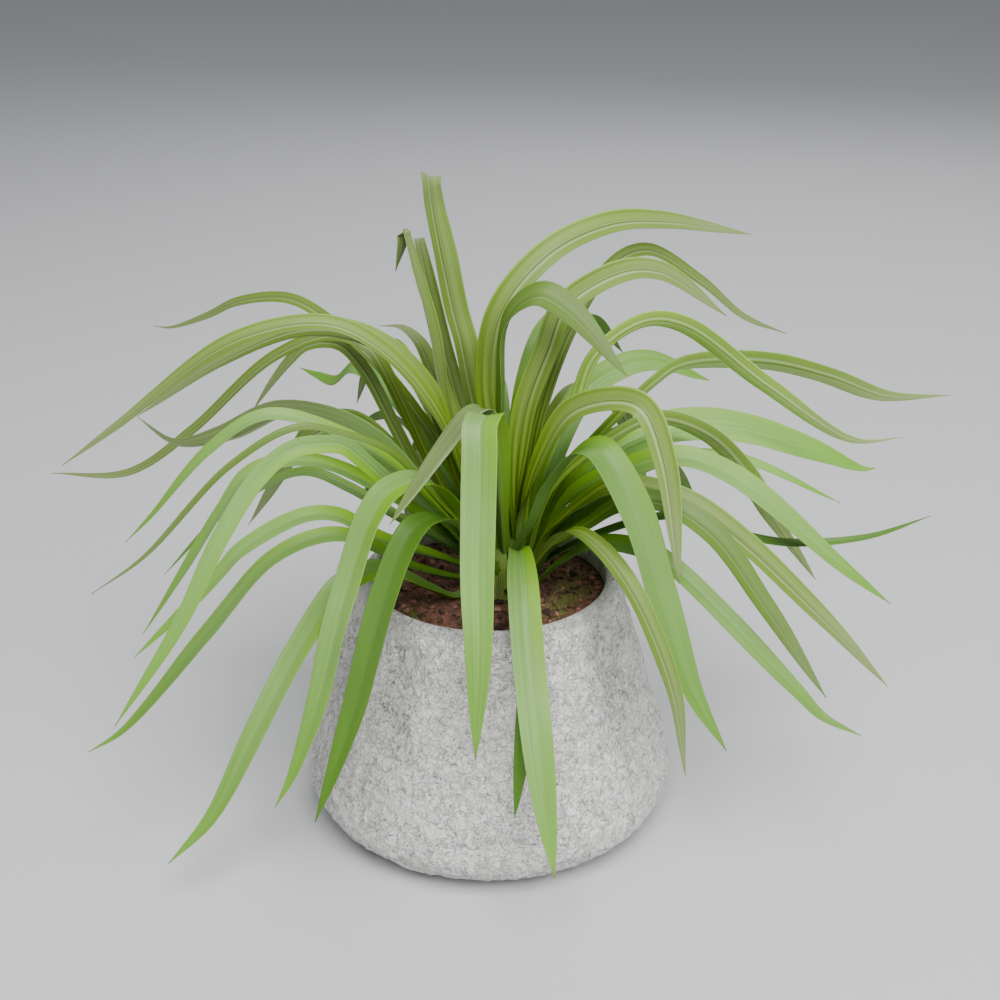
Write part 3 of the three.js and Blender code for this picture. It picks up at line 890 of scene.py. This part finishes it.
@dataclass
class Soil:
    """The potting soil: a lumpy top, with loose crumbs, bark, grit and moss on it.

    The lumps are pairs of size and depth, and the moss patches have their middle's x and y and a radius.
    """

    pot: PlasterPot
    at_wall: float = 138.5
    at_crown: float = 140.5
    gap: float = 0.3
    lumps: tuple = ((17, 1.1), (7, 0.9), (3.1, 0.65), (1.6, 0.3))
    spread: float = 66.0
    rings: int = 62
    columns: int = 220
    crumbs: int = 1300
    tufts: int = 620
    moss_at: tuple = ((44.0, -14.0, 15.0), (52.0, 4.0, 12.0), (36.0, -34.0, 11.0), (-42.0, -34.0, 8.0))

    def top(self, x: Array, y: Array) -> Array:
        """Height of the lumpy top: a low mound plus lattice noise of each of the lumps' sizes.

        Args:
            x: places along X.
            y: places along Y.

        Returns:
            The height at each place.
        """
        rng = np.random.default_rng(SEED + 1)
        reach = np.hypot(x, y)
        heights = [self.at_crown, self.at_wall + 1.2, self.at_wall]
        mound = np.interp(reach, [0, 45, self.pot.rim_inner], heights)
        lumps = sum(
            depth * lattice_noise(x + 500, y + 500, size, 0.0, rng)
            for size, depth in self.lumps
        )
        return mound + lumps * (1 - smoothstep(60, 68, reach)) - 0.2

    def mossiness(self, x: Array, y: Array) -> Array:
        """1 in the middle of a moss patch and 0 outside."""
        patches = [np.exp(-(((x - a) ** 2 + (y - b) ** 2) / r**2)) for a, b, r in self.moss_at]
        return np.clip(sum(patches), 0, 1)

    def build(self, soil: bpy.types.Material, crumbs: bpy.types.Material) -> None:
        """Makes the soil's body and what lies on it.

        Args:
            soil: the body's finish.
            crumbs: the finish of the loose bits.
        """
        wall = np.array(self.pot.inner_wall(), dtype=float) - [self.gap, 0]
        wall[0, 1] += self.gap
        below = [[40.0, self.pot.floor + self.gap]]
        reach = np.linspace(self.pot.rim_inner + 0.2, 1.0, self.rings)
        top = np.column_stack([reach, np.full(self.rings, self.at_wall)])
        grid, _ = spun(np.vstack([below, wall, top]), self.columns)
        grid[-self.rings :, :, 2] = self.top(grid[-self.rings :, :, 0], grid[-self.rings :, :, 1])
        middle = self.top(np.zeros(1), np.zeros(1))[0]
        floor = np.array([0, 0, self.pot.floor + self.gap])
        points, faces = closed_spin(grid, floor, np.array([0, 0, middle]))
        moss = self.mossiness(points[:, 0], points[:, 1])
        Piece("soil_body", points, faces, {"moss": moss}).place(soil, "soil", ["soil"])
        self.scatter(crumbs)

    def scatter(self, finish: bpy.types.Material) -> None:
        """Drops crumbs and grit as jittered eight-sided lumps, and moss as three-sided spikes.

        Args:
            finish: the finish of the loose bits.
        """
        rng = np.random.default_rng(SEED + 2)
        reach = self.spread * np.sqrt(rng.uniform(0.0, 1, self.crumbs))
        turn = rng.uniform(0, 2 * np.pi, self.crumbs)
        x, y = reach * np.cos(turn), reach * np.sin(turn)
        size = rng.gamma(2.0, 0.50, self.crumbs) + 0.45
        kind = rng.uniform(0, 1, self.crumbs)  # four in five are crumb or bark, the others are paler grit
        tint = np.where(kind < 0.80, kind * 0.74, 0.62 + (kind - 0.80) * 1.15)
        corner = np.array([[1, 0, 0], [0, 1, 0], [-1, 0, 0], [0, -1, 0], [0, 0, 1], [0, 0, -1]])
        side = [[k, (k + 1) % 4, 4] for k in range(4)] + [[(k + 1) % 4, k, 5] for k in range(4)]
        shape = corner[None] * (1 + rng.uniform(-0.35, 0.35, (self.crumbs, 6, 3)))
        shape = shape + rng.uniform(-0.22, 0.22, (self.crumbs, 6, 3))
        shape[..., 2] *= 0.62
        spin = rng.uniform(0, 2 * np.pi, self.crumbs)[:, None]
        level, across = shape[..., 0], shape[..., 1]
        turned = np.stack(
            [
                level * np.cos(spin) - across * np.sin(spin),
                level * np.sin(spin) + across * np.cos(spin),
                shape[..., 2],
            ],
            axis=-1,
        )
        bed = np.stack([x, y, self.top(x, y) + size * 0.12], axis=-1)
        lumps = (turned * size[:, None, None] + bed[:, None]).reshape(-1, 3)
        faces = (np.array(side)[None] + 6 * np.arange(self.crumbs)[:, None, None]).reshape(-1, 3)
        tints = np.repeat(tint, 6)

        patch = rng.integers(0, len(self.moss_at), self.tufts)
        centre = np.array(self.moss_at)[patch]
        foot = centre[:, :2] + rng.normal(0, 0.5, (self.tufts, 2)) * centre[:, 2:]
        foot = foot[np.hypot(foot[:, 0], foot[:, 1]) < self.spread - 0.5]
        count = len(foot)
        bed = np.column_stack([foot, self.top(foot[:, 0], foot[:, 1]) - 0.3])
        turn = rng.uniform(0, 2 * np.pi, count)[:, None] + np.arange(3) * 2 * np.pi / 3
        wide = rng.uniform(0.25, 0.55, count)[:, None]
        ring = bed[:, None] + np.stack([wide * np.cos(turn), wide * np.sin(turn), 0 * turn], axis=-1)
        lean = rng.normal(0, 0.7, (count, 3))
        lean[:, 2] = rng.uniform(0.9, 2.3, count)
        spikes = np.concatenate([ring, (bed + lean)[:, None]], axis=1).reshape(-1, 3)
        spike = np.array([[0, 1, 3], [1, 2, 3], [2, 0, 3], [2, 1, 0]])
        more = (spike[None] + 4 * np.arange(count)[:, None, None] + len(lumps)).reshape(-1, 3)
        tints = np.append(tints, np.repeat(rng.uniform(0.89, 1.0, count), 4))
        points = np.vstack([lumps, spikes])
        faces = np.vstack([faces, more]).tolist()
        Piece("soil_bits", points, faces, {"tint": tints}).place(finish, "soil", smooth=False)


# ---- crown and leaves


@dataclass
class Crown:
    """The half egg on its neck that the leaves grow from, ribbed by the sheaths of old leaves."""

    x: float = 10.0
    middle: float = 146.0
    across: float = 19.0
    tall: float = 24.0
    foot: float = 116.0
    soil: float = 136.0
    whorls: tuple = (-5, 10, 25, 40, 55, 70)
    ribs: int = 17
    rib_depth: float = 0.055
    columns: int = 136

    def root(self, whorl: int, turn: float) -> Array:
        """Where a leaf grows: a point of the egg at its whorl's angle up and a turn round it.

        Args:
            whorl: the whorl's number, from below.
            turn: degrees round the crown's axis.

        Returns:
            The point.
        """
        up, way = math.radians(self.whorls[whorl]), math.radians(turn)
        radius, height = self.across * math.cos(up), self.middle + self.tall * math.sin(up)
        return np.array([self.x + radius * math.cos(way), radius * math.sin(way), height])

    def build(self, finish: bpy.types.Material) -> None:
        """Spins the egg and its neck, with a shallow wave round it for the sheaths.

        Args:
            finish: its finish.
        """
        up = np.linspace(0, math.radians(86), 22)
        egg = np.column_stack([self.across * np.cos(up), self.middle + self.tall * np.sin(up)])
        neck = np.linspace((self.across, self.foot), (self.across, self.middle - 1), 12)
        profile = np.vstack([[[9.0, self.foot]], neck, egg])
        grid, angle = spun(profile, self.columns)
        height = np.broadcast_to(profile[:, 1:], grid.shape[:2])
        wave = np.abs(np.sin(angle * self.ribs / 2 + 0.02 * (height - 120)))
        shrink = 1 - self.rib_depth * (1 - wave**0.7) - 0.01
        grid[..., 0] = grid[..., 0] * shrink + self.x
        grid[..., 1] *= shrink
        low, high = np.array([self.x, 0, self.foot]), np.array([self.x, 0, self.middle + self.tall])
        points, faces = closed_spin(grid, low, high)
        share = np.clip((points[:, 2] - self.soil) / (self.middle + self.tall - self.soil), 0, 1)
        round_about = np.append(np.broadcast_to(angle, grid.shape[:2]).ravel(), [0, 0]) / (2 * np.pi)
        attributes = {"height": share, "round": np.abs(round_about * 2 - 1) * 3}
        Piece("crown_heart", points, faces, attributes).place(finish, "stem", ["crown"])


# How light a leaf is, from 0 to 1, where its tone isn't drawn at random.
SHADES: dict[str, float] = {
    "left_01": 0.42, "left_03": 0.45, "left_08": 0.20, "left_09": 0.55, "left_14": 0.32, "left_15": 0.50,
    "left_17": 0.02, "front_01": 0.35, "front_02": 0.50, "front_03": 0.40, "front_04": 0.0,
    "right_04": 0.02, "right_10": 0.85, "right_13": 0.45, "right_15": 0.0, "right_17": 0.02,
    "right_18": 0.25, "right_19": 0.22, "right_20": 0.36, "centre_01": 0.30,
}

# Painted light: leaves whose underside is painted brighter, as if lit, and the share of its colour that is
# added to it.
PAINTED_UNDERSIDE_LIGHT: dict[str, float] = {
    "left_06": 0.50, "left_11": 0.30, "right_07": 1.10, "right_08": 0.75, "right_12": 0.75,
    "right_19": 0.20,
}

# Leaves that show their underside in the outer part.
TURNED: tuple[str, ...] = ("front_01", "left_06")


# Places across a blade, from edge to edge, and how round the keel's bottom is.
HALF_ACROSS = (0.08, 0.22, 0.4, 0.6, 0.8, 0.95, 1)
ACROSS = np.array([*(-place for place in HALF_ACROSS[::-1]), 0, *HALF_ACROSS])
KEEL_ROUND = 0.006


class Kind(Enum):
    """The two kinds of blade."""

    PLAIN = "leaf_plain"
    STRIPED = "leaf_striped"


P, S = Kind.PLAIN, Kind.STRIPED

# Each row: whorl, root turn, turn, width, roll, kind, and guides of reach, height and drift aside. Turns
# are degrees round the crown's axis from +X towards +Y; reach is counted from that axis.
LEAF_ROWS: dict[str, tuple] = {
    "left": (
        (3, 140, 150, 7, 60, S, ((35, 204, -2), (80, 255, -2), (127, 286), (149, 291), (187, 283),
         (211, 271), (244, 258), (257, 257))),
        (5, 180, 184, 12, 30, S, ((23, 202, 1), (38, 247, 3), (65, 283, 1), (95, 300), (145, 292),
         (212, 245), (244, 223))),
        (4, 175, 174, 15, 30, S, ((31, 211, 3), (43, 258, 2), (72, 286), (108, 292), (158, 272),
         (211, 237))),
        (3, 160, 158, 8, 55, S, ((40, 194), (60, 236, 1), (76, 266), (83, 274, -1), (106, 279, -1),
         (145, 262), (208, 206), (261, 169), (321, 159))),
        (2, 143, 148, 9, 75, S, ((34, 173), (60, 200, 1), (76, 223), (96, 254), (115, 267, -1), (139, 263),
         (154, 250), (173, 229), (188, 210))),
        (3, 187, 173, 20, -50, P, ((35, 182), (75, 226), (99, 239), (127, 242), (161, 226), (187, 219),
         (196, 221), (213, 235))),
        (3, 212, 186, 9, 30, P, ((39, 188), (65, 219), (88, 237), (130, 251), (162, 233), (198, 194),
         (214, 178, -1))),
        (3, 235, 195, 5, 30, S, ((38, 195), (65, 230), (91, 244), (116, 250), (152, 232), (202, 184),
         (231, 166))),
        (2, 202, 206, 10, 70, P, ((39, 187), (69, 216), (95, 244), (99, 246), (123, 248), (141, 237),
         (165, 206), (190, 162), (230, 109))),
        (2, 181, 186, 11, 25, P, ((42, 178), (72, 205), (109, 223), (141, 218), (160, 195), (184, 158),
         (210, 120))),
        (1, 150, 152, 20, 45, S, ((46, 174, -1), (78, 204, -1), (104, 220), (130, 212), (148, 190),
         (187, 137))),
        (1, 168, 166, 7, 35, P, ((38, 162), (61, 174), (95, 192), (122, 199), (171, 170), (220, 119))),
        (1, 192, 193, 11, 30, P, ((39, 161, -1), (75, 178, -2), (96, 194, -1), (115, 196), (150, 179),
         (161, 168), (178, 151), (213, 120))),
        (0, 190, 198, 11, 25, P, ((32, 149), (57, 161, 2), (97, 187, 1), (132, 179), (173, 138), (224, 85),
         (244, 75))),
        (0, 212, 211, 16, 20, P, ((35, 141, 1), (51, 151, 1), (81, 171), (99, 169), (107, 166, 1),
         (130, 137), (160, 92), (189, 48, 1), (215, 27))),
        (2, 218, 220, 20, 5, P, ((36, 196), (58, 222), (80, 222), (92, 211), (97, 203), (114, 164),
         (131, 116), (151, 75), (163, 60))),
        (2, 250, 234, 18, 0, P, ((23, 171), (39, 189, 1), (58, 204, 1), (71, 208, 1), (82, 208, 1),
         (96, 195), (122, 146, -1), (136, 118, -1), (168, 74))),
    ),
    "front": (
        (4, 225, 242, 11, 10, P, ((15, 203, -1), (21, 240, 2), (23, 256, -1), (32, 258, -3), (70, 248, -2),
         (122, 230))),
        (4, 262, 262, 19, 0, P, ((18, 197, -1), (36, 243, -3), (55, 266, -3), (63, 263, -5), (70, 252, -4),
         (87, 194, -3), (105, 155), (118, 99))),
        (2, 285, 279, 18, 0, P, ((28, 172), (37, 179, 1), (59, 172, -1), (84, 151, -3), (111, 116, -3),
         (141, 70, -1), (155, 52))),
        (0, 272, 270, 11, 0, P, ((30, 151, 6), (50, 160, 10), (72, 156, 11), (92, 132, 11), (108, 100, 8),
         (121, 65, 4))),
    ),
    "right": (
        (5, 64, 35, 15, 45, S, ((2, 207, 5), (-2, 261, 14), (1, 303, 8), (29, 332, 3), (66, 343),
         (105, 340), (178, 322))),
        (5, 5, 20, 14, 70, S, ((6, 206), (10, 247), (23, 282), (33, 305), (66, 321), (90, 319),
         (133, 289))),
        (4, 28, 38, 8, 65, S, ((21, 236, -1), (46, 288), (75, 319), (101, 323), (147, 297), (186, 268),
         (229, 248))),
        (5, -70, -25, 21, 30, S, ((0, 203, -2), (2, 262, -8), (5, 304, -7), (20, 317, -3), (34, 311),
         (69, 279))),
        (4, 58, 60, 12, 20, P, ((12, 215), (20, 255), (38, 280), (60, 286), (95, 272), (130, 240))),
        (3, 50, 45, 14, -20, P, ((20, 200, 2), (30, 233, 3), (43, 271), (55, 287, 1), (68, 286),
         (98, 259))),
        (4, 0, 6, 17, -45, S, ((17, 216, -2), (39, 247, 1), (50, 278), (76, 296), (97, 293), (145, 257),
         (200, 222), (229, 223))),
        (3, 2, 16, 21, -45, S, ((33, 201, 1), (62, 234, -2), (88, 255), (102, 263), (153, 261), (194, 249),
         (237, 232), (281, 229))),
        (3, 27, 40, 16, 45, P, ((30, 205), (59, 245, 1), (86, 254), (111, 253), (167, 228))),
        (2, 12, 12, 22, 40, P, ((33, 189, 1), (62, 218, 3), (96, 230, 1), (142, 225), (186, 208),
         (219, 194), (226, 194))),
        (4, -36, -28, 14, 60, S, ((11, 186, -1), (23, 226, -2), (39, 255), (67, 267), (82, 265, -2),
         (96, 241, -6), (107, 195, -11), (110, 174, -12))),
        (3, -19, 2, 19, -45, S, ((26, 200, -3), (52, 225, -2), (82, 241, -1), (110, 233, -1), (131, 213),
         (154, 178), (182, 140))),
        (2, -10, -8, 15, 35, P, ((36, 196, 2), (59, 212, 3), (95, 226), (125, 217), (186, 168),
         (218, 144))),
        (1, 31, 8, 8, 30, P, ((39, 182), (63, 200), (97, 215), (134, 212), (199, 180))),
        (1, 12, -5, 6, 30, P, ((51, 174), (93, 188), (137, 177), (163, 174), (204, 180), (236, 194))),
        (2, -33, -17, 15, 30, S, ((25, 176, -3), (44, 198, -3), (63, 211), (100, 207, 1), (129, 191),
         (178, 150), (219, 111))),
        (1, -30, -27, 14, 30, S, ((27, 167), (51, 189, -1), (72, 207, -3), (91, 212), (121, 199, 2),
         (153, 165), (191, 118))),
        (0, -33, -29, 12, 30, P, ((36, 163), (60, 181), (90, 182), (106, 175), (176, 122), (192, 110),
         (213, 105))),
        (4, -70, -42, 21, 15, P, ((25, 190, -3), (35, 214, -2), (49, 235), (59, 242, -1), (67, 242, -1),
         (89, 217, -1), (108, 172, 1), (132, 125, -1), (156, 96))),
        (1, -52, -50, 13, 0, S, ((32, 172), (53, 193, 1), (75, 193), (107, 175, -2), (133, 131, 1),
         (146, 86))),
        (1, -10, -12, 13, 20, P, ((28, 168, 2), (45, 185, 1), (62, 198), (85, 200), (125, 185))),
    ),
    "back": (
        (1, 130, 136, 10, -60, P, ((40, 178, -1), (73, 210), (98, 219), (126, 207, 1))),
        (2, 105, 126, 14, -5, S, ((43, 194), (93, 241), (121, 256, 1), (141, 241, 1), (160, 205, 3))),
        (2, 122, 138, 12, 40, P, ((41, 191, 1), (80, 230), (106, 244), (124, 245), (142, 232), (159, 232),
         (175, 233))),
        (4, 118, 140, 13, 0, S, ((26, 199, -4), (48, 243, -3), (57, 262), (65, 274), (78, 280), (96, 278))),
        (2, 86, 95, 16, 0, P, ((40, 205), (75, 230), (115, 225), (160, 180), (190, 130))),
        (1, 90, 78, 16, 0, P, ((45, 185), (90, 210), (135, 190), (175, 140), (200, 95))),
        (2, 68, 60, 16, 0, S, ((40, 205), (80, 232), (125, 220), (170, 170), (200, 115))),
        (1, 109, 112, 15, 0, S, ((45, 185), (90, 208), (135, 185), (170, 135), (190, 90))),
        (1, 50, 45, 14, 0, P, ((45, 180), (90, 200), (140, 180), (190, 118))),
        (0, 125, 128, 14, 0, P, ((45, 165), (85, 190), (125, 175), (155, 135))),
        (0, 85, 88, 15, 0, P, ((50, 165), (90, 175), (125, 145), (150, 95))),
    ),
    "centre": (
        (5, 134, 118, 20, -20, S, ((19, 202, -1), (43, 242, -1), (52, 273, 1), (64, 289), (85, 344, 2),
         (87, 359, 3), (96, 359, -2), (103, 346, -4), (104, 330, -4))),
        (4, 148, 154, 21, -15, S, ((19, 195, 1), (37, 230), (46, 282), (53, 314, 1), (62, 343), (61, 341),
         (68, 319))),
        (4, 82, 118, 10, 0, S, ((23, 192, -5), (41, 215, -1), (57, 230, -1), (80, 266), (107, 319, 1),
         (116, 318, -3), (122, 305, -5), (123, 292, -5))),
    ),
}


@dataclass
class Leaf:
    """One arching keeled blade, laid along the same line as its solid.

    Its folds are degrees at the root, the middle and the tip. It narrows from the taper's share of its
    length on, thins from the midrib to its edges, and has its full thickness from a half width on.
    """

    name: str
    crown: Crown
    whorl: int
    root: float
    turn: float
    width: float
    roll: float
    kind: Kind
    guides: tuple
    steps: int = 84
    root_width: float = 7.0
    root_fold: float = 42.0
    mid_fold: float = 16.0
    tip_fold: float = 9.0
    widening: float = 0.30
    taper: float = 0.46
    fullness: float = 3.2
    point: float = 0.5
    thick: float = 0.95
    thinning: float = 0.66
    full_from: float = 4.0
    wave_share: float = 0.055
    ridge_count: int = 9
    ridge_height: float = 0.10

    def line(self) -> Array:
        """The middle line, from just inside the crown through the root and the guides.

        Returns:
            Its points, one a row.
        """
        way = math.radians(self.turn)
        outward = np.array([math.cos(way), math.sin(way), 0])
        aside = np.array([-math.sin(way), math.cos(way), 0])
        guides = [
            np.array([self.crown.x, 0, height]) + reach * outward + sum(drift) * aside
            for reach, height, *drift in self.guides
        ]
        start = self.crown.root(self.whorl, self.root)
        inward = start - guides[0]
        inside = start + 3 * inward / np.linalg.norm(inward)
        return curve_through(np.array([inside, start, *guides]), self.steps + 1)

    def frames(self, line: Array) -> tuple[Array, Array]:
        """The sideways and upward directions at each step.

        Sideways is the level direction square to the leaf's turn, made square to the line and rolled about
        it by the lean; up is square to both.

        Args:
            line: the points of the middle line.

        Returns:
            Both directions, one a row.
        """
        forward = np.gradient(line, axis=0)
        forward /= np.linalg.norm(forward, axis=1, keepdims=True)
        way = math.radians(self.turn)
        aside = np.array([-math.sin(way), math.cos(way), 0.0])
        side = aside - forward * (forward @ aside)[:, None]
        side /= np.linalg.norm(side, axis=1, keepdims=True)
        lean = math.radians(self.roll) * (-1 if math.cos(way) < 0 else 1)
        lean = (lean * smoothstep(0, self.widening, np.linspace(0, 1, len(line))))[:, None]
        side = side * np.cos(lean) + np.cross(forward, side) * np.sin(lean)
        return side, np.cross(forward, side)

    def build(self, finish: bpy.types.Material, rng: np.random.Generator) -> None:
        """Carries a keeled section along the line.

        Its lift is a V with a rounded bottom, plus slow waves that grow towards the edges and fine ridges
        on top; its thickness falls from the midrib to the edges. The lit half, painted lime with a painted
        highlight along its edge, is the far one, or on a front leaf the right one.

        Args:
            finish: its finish.
            rng: where its waves and its tone come from.
        """
        line = self.line()
        side, up = self.frames(line)
        share = np.linspace(0, 1, len(line))[:, None]
        grown = smoothstep(0, self.widening, share)
        late = np.clip((share - self.taper) / (1 - self.taper), 0, 1)
        full = self.root_width + (self.width - self.root_width) * grown
        half = np.maximum(self.point, full * (1 - late**self.fullness)) / 2
        fold = self.root_fold + (self.mid_fold - self.root_fold) * grown
        fold = np.radians(fold + (self.tip_fold - self.mid_fold) * late)
        phase, count = rng.uniform(0, 2 * np.pi, 4), rng.uniform(2.0, 4.5, 4)
        wave = sum(
            np.where(ACROSS * way > 0, 1, 0) * np.sin(2 * np.pi * share * count[k] + phase[k])
            for k, way in enumerate((1, -1))
        )
        start = math.sqrt(KEEL_ROUND)
        keel = (np.sqrt(ACROSS**2 + KEEL_ROUND) - start) / (math.sqrt(1 + KEEL_ROUND) - start)
        lift = half * np.sin(fold) * keel + wave * ACROSS**2 * (self.wave_share * half) * grown
        ridges = self.ridge_height * np.cos(ACROSS * self.ridge_count * np.pi)
        ridges = ridges * np.exp(-((ACROSS / 0.8) ** 4)) * grown
        slim = 0.35 + 0.65 * np.minimum(1, half / self.full_from)
        thickness = self.thick * (1 - self.thinning * ACROSS**2) * slim
        flat = line[:, None] + side[:, None] * (half * np.cos(fold) * ACROSS)[..., None]
        levels = (lift + thickness / 2 + ridges, lift - thickness / 2)
        upper, lower = (flat + up[:, None] * level[..., None] for level in levels)
        grid = np.concatenate([upper[:, ::-1], lower], axis=1)
        columns = grid.shape[1]
        faces = grid_faces(len(line), columns).tolist()
        end = (len(line) - 1) * columns
        faces += [list(range(columns))[::-1], list(range(end, end + columns))]
        length = np.linalg.norm(np.diff(line, axis=0), axis=1).sum()
        # The lime half is painted as the lit one: the far half, or on a front leaf the right one.
        lit_side = -1 if 95 < self.turn < 205 else 1
        fields = {
            "across": np.concatenate([ACROSS[::-1], ACROSS]) * lit_side,
            "below": np.repeat([0.0, 1.0], len(ACROSS)),
            "share": share,
            "along": share * length * MM,
            "tone": SHADES.get(self.name, rng.uniform(0.45, 0.95)),
            "turned": smoothstep(0.35, 0.60, share) * (self.name in TURNED),
            "gain": PAINTED_UNDERSIDE_LIGHT.get(self.name, 0.0),
        }
        attributes = {name: np.broadcast_to(field, grid.shape[:2]) for name, field in fields.items()}
        piece = Piece(f"blade_{self.name}", grid.reshape(-1, 3), faces, attributes)
        piece.place(finish, self.kind.value, [f"leaf_{self.name}"])


@dataclass
class Foliage:
    """All the leaves, in the order of the table."""

    crown: Crown

    def build(self, finishes: Finishes) -> None:
        """Builds each leaf with its own small waves.

        Args:
            finishes: all the finishes.
        """
        rng = np.random.default_rng(SEED + 3)
        skins = {Kind.PLAIN: finishes.plain, Kind.STRIPED: finishes.striped}
        for where, rows in LEAF_ROWS.items():
            for number, row in enumerate(rows, 1):
                leaf = Leaf(f"{where}_{number:02d}", self.crown, *row)
                leaf.build(skins[leaf.kind], rng)


# ---- studio


@dataclass
class Studio:
    """The floor, the soft lights and the camera."""

    camera_at: tuple[float, float, float] = (0.00631, -0.71759, 0.52062)
    camera_down: float = 24.45
    lens: float = 50.0
    sensor: float = 36.0
    floor_half: float = 14.0
    air: tuple[float, ...] = (0.80, 0.83, 0.88, 1)
    air_strength: float = 0.33
    lamps: tuple = (  # name, place, the point it faces, side and power
        ("key", (0.2, -1.2, 2.2), (0.0, 0.0, 0.15), 1.6, 90),
        ("fill", (1.9, -1.5, 1.1), (0.0, 0.0, 0.1), 1.8, 26),
        ("back", (0.5, 1.7, 1.7), (0.0, 0.0, 0.2), 1.6, 16),
    )

    def build(self) -> None:
        """Sets the stage."""
        self.lay_floor()
        for lamp in self.lamps:
            self.hang(*lamp)
        world = bpy.data.worlds.new("studio_air")
        world.use_nodes = True
        shade = world.node_tree.nodes["Background"]
        shade.inputs["Color"].default_value = self.air
        shade.inputs["Strength"].default_value = self.air_strength
        bpy.context.scene.world = world
        lens = bpy.data.cameras.new("camera")
        lens.lens, lens.sensor_width = self.lens, self.sensor
        lens.clip_start, lens.clip_end = 0.02, 60.0
        camera = bpy.data.objects.new("camera", lens)
        camera.location = self.camera_at
        camera.rotation_euler = (math.radians(90 - self.camera_down), 0, 0)
        bpy.context.scene.collection.objects.link(camera)
        bpy.context.scene.camera = camera

    def lay_floor(self) -> None:
        """One large plain sheet under the pot."""
        mesh = bpy.data.meshes.new("studio_floor")
        ways = ((-1, -1), (1, -1), (1, 1), (-1, 1))
        corners = [(x * self.floor_half, y * self.floor_half, 0) for x, y in ways]
        mesh.from_pydata(corners, [], [(0, 1, 2, 3)])
        mesh.materials.append(FloorFinish().make())
        floor = bpy.data.objects.new("studio_floor", mesh)
        bpy.context.scene.collection.objects.link(floor)

    def hang(self, name: str, at: tuple, towards: tuple, size: float, power: float) -> None:
        """Hangs one square soft light that faces a point.

        Args:
            name: its name.
            at: its place.
            towards: the point it faces.
            size: its side.
            power: its watts.
        """
        lamp = bpy.data.lights.new(name, "AREA")
        lamp.size, lamp.energy = size, power
        holder = bpy.data.objects.new(name, lamp)
        way = np.array(towards) - np.array(at)
        level = math.hypot(way[0], way[1])
        holder.rotation_euler = (math.atan2(level, -way[2]), 0, math.atan2(way[1], way[0]) - math.pi / 2)
        holder.location = at
        bpy.context.scene.collection.objects.link(holder)


def main() -> None:
    """Builds the plant from the pot up, then the studio."""
    logging.basicConfig(level=logging.INFO, format="%(name)s: %(message)s")
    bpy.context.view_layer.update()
    finishes = Finishes()
    pot = PlasterPot()
    pot.build(finishes.plaster)
    Soil(pot).build(finishes.soil, finishes.crumbs)
    crown = Crown()
    crown.build(finishes.stem)
    Foliage(crown).build(finishes)
    Studio().build()


if __name__ == "__main__":
    main()
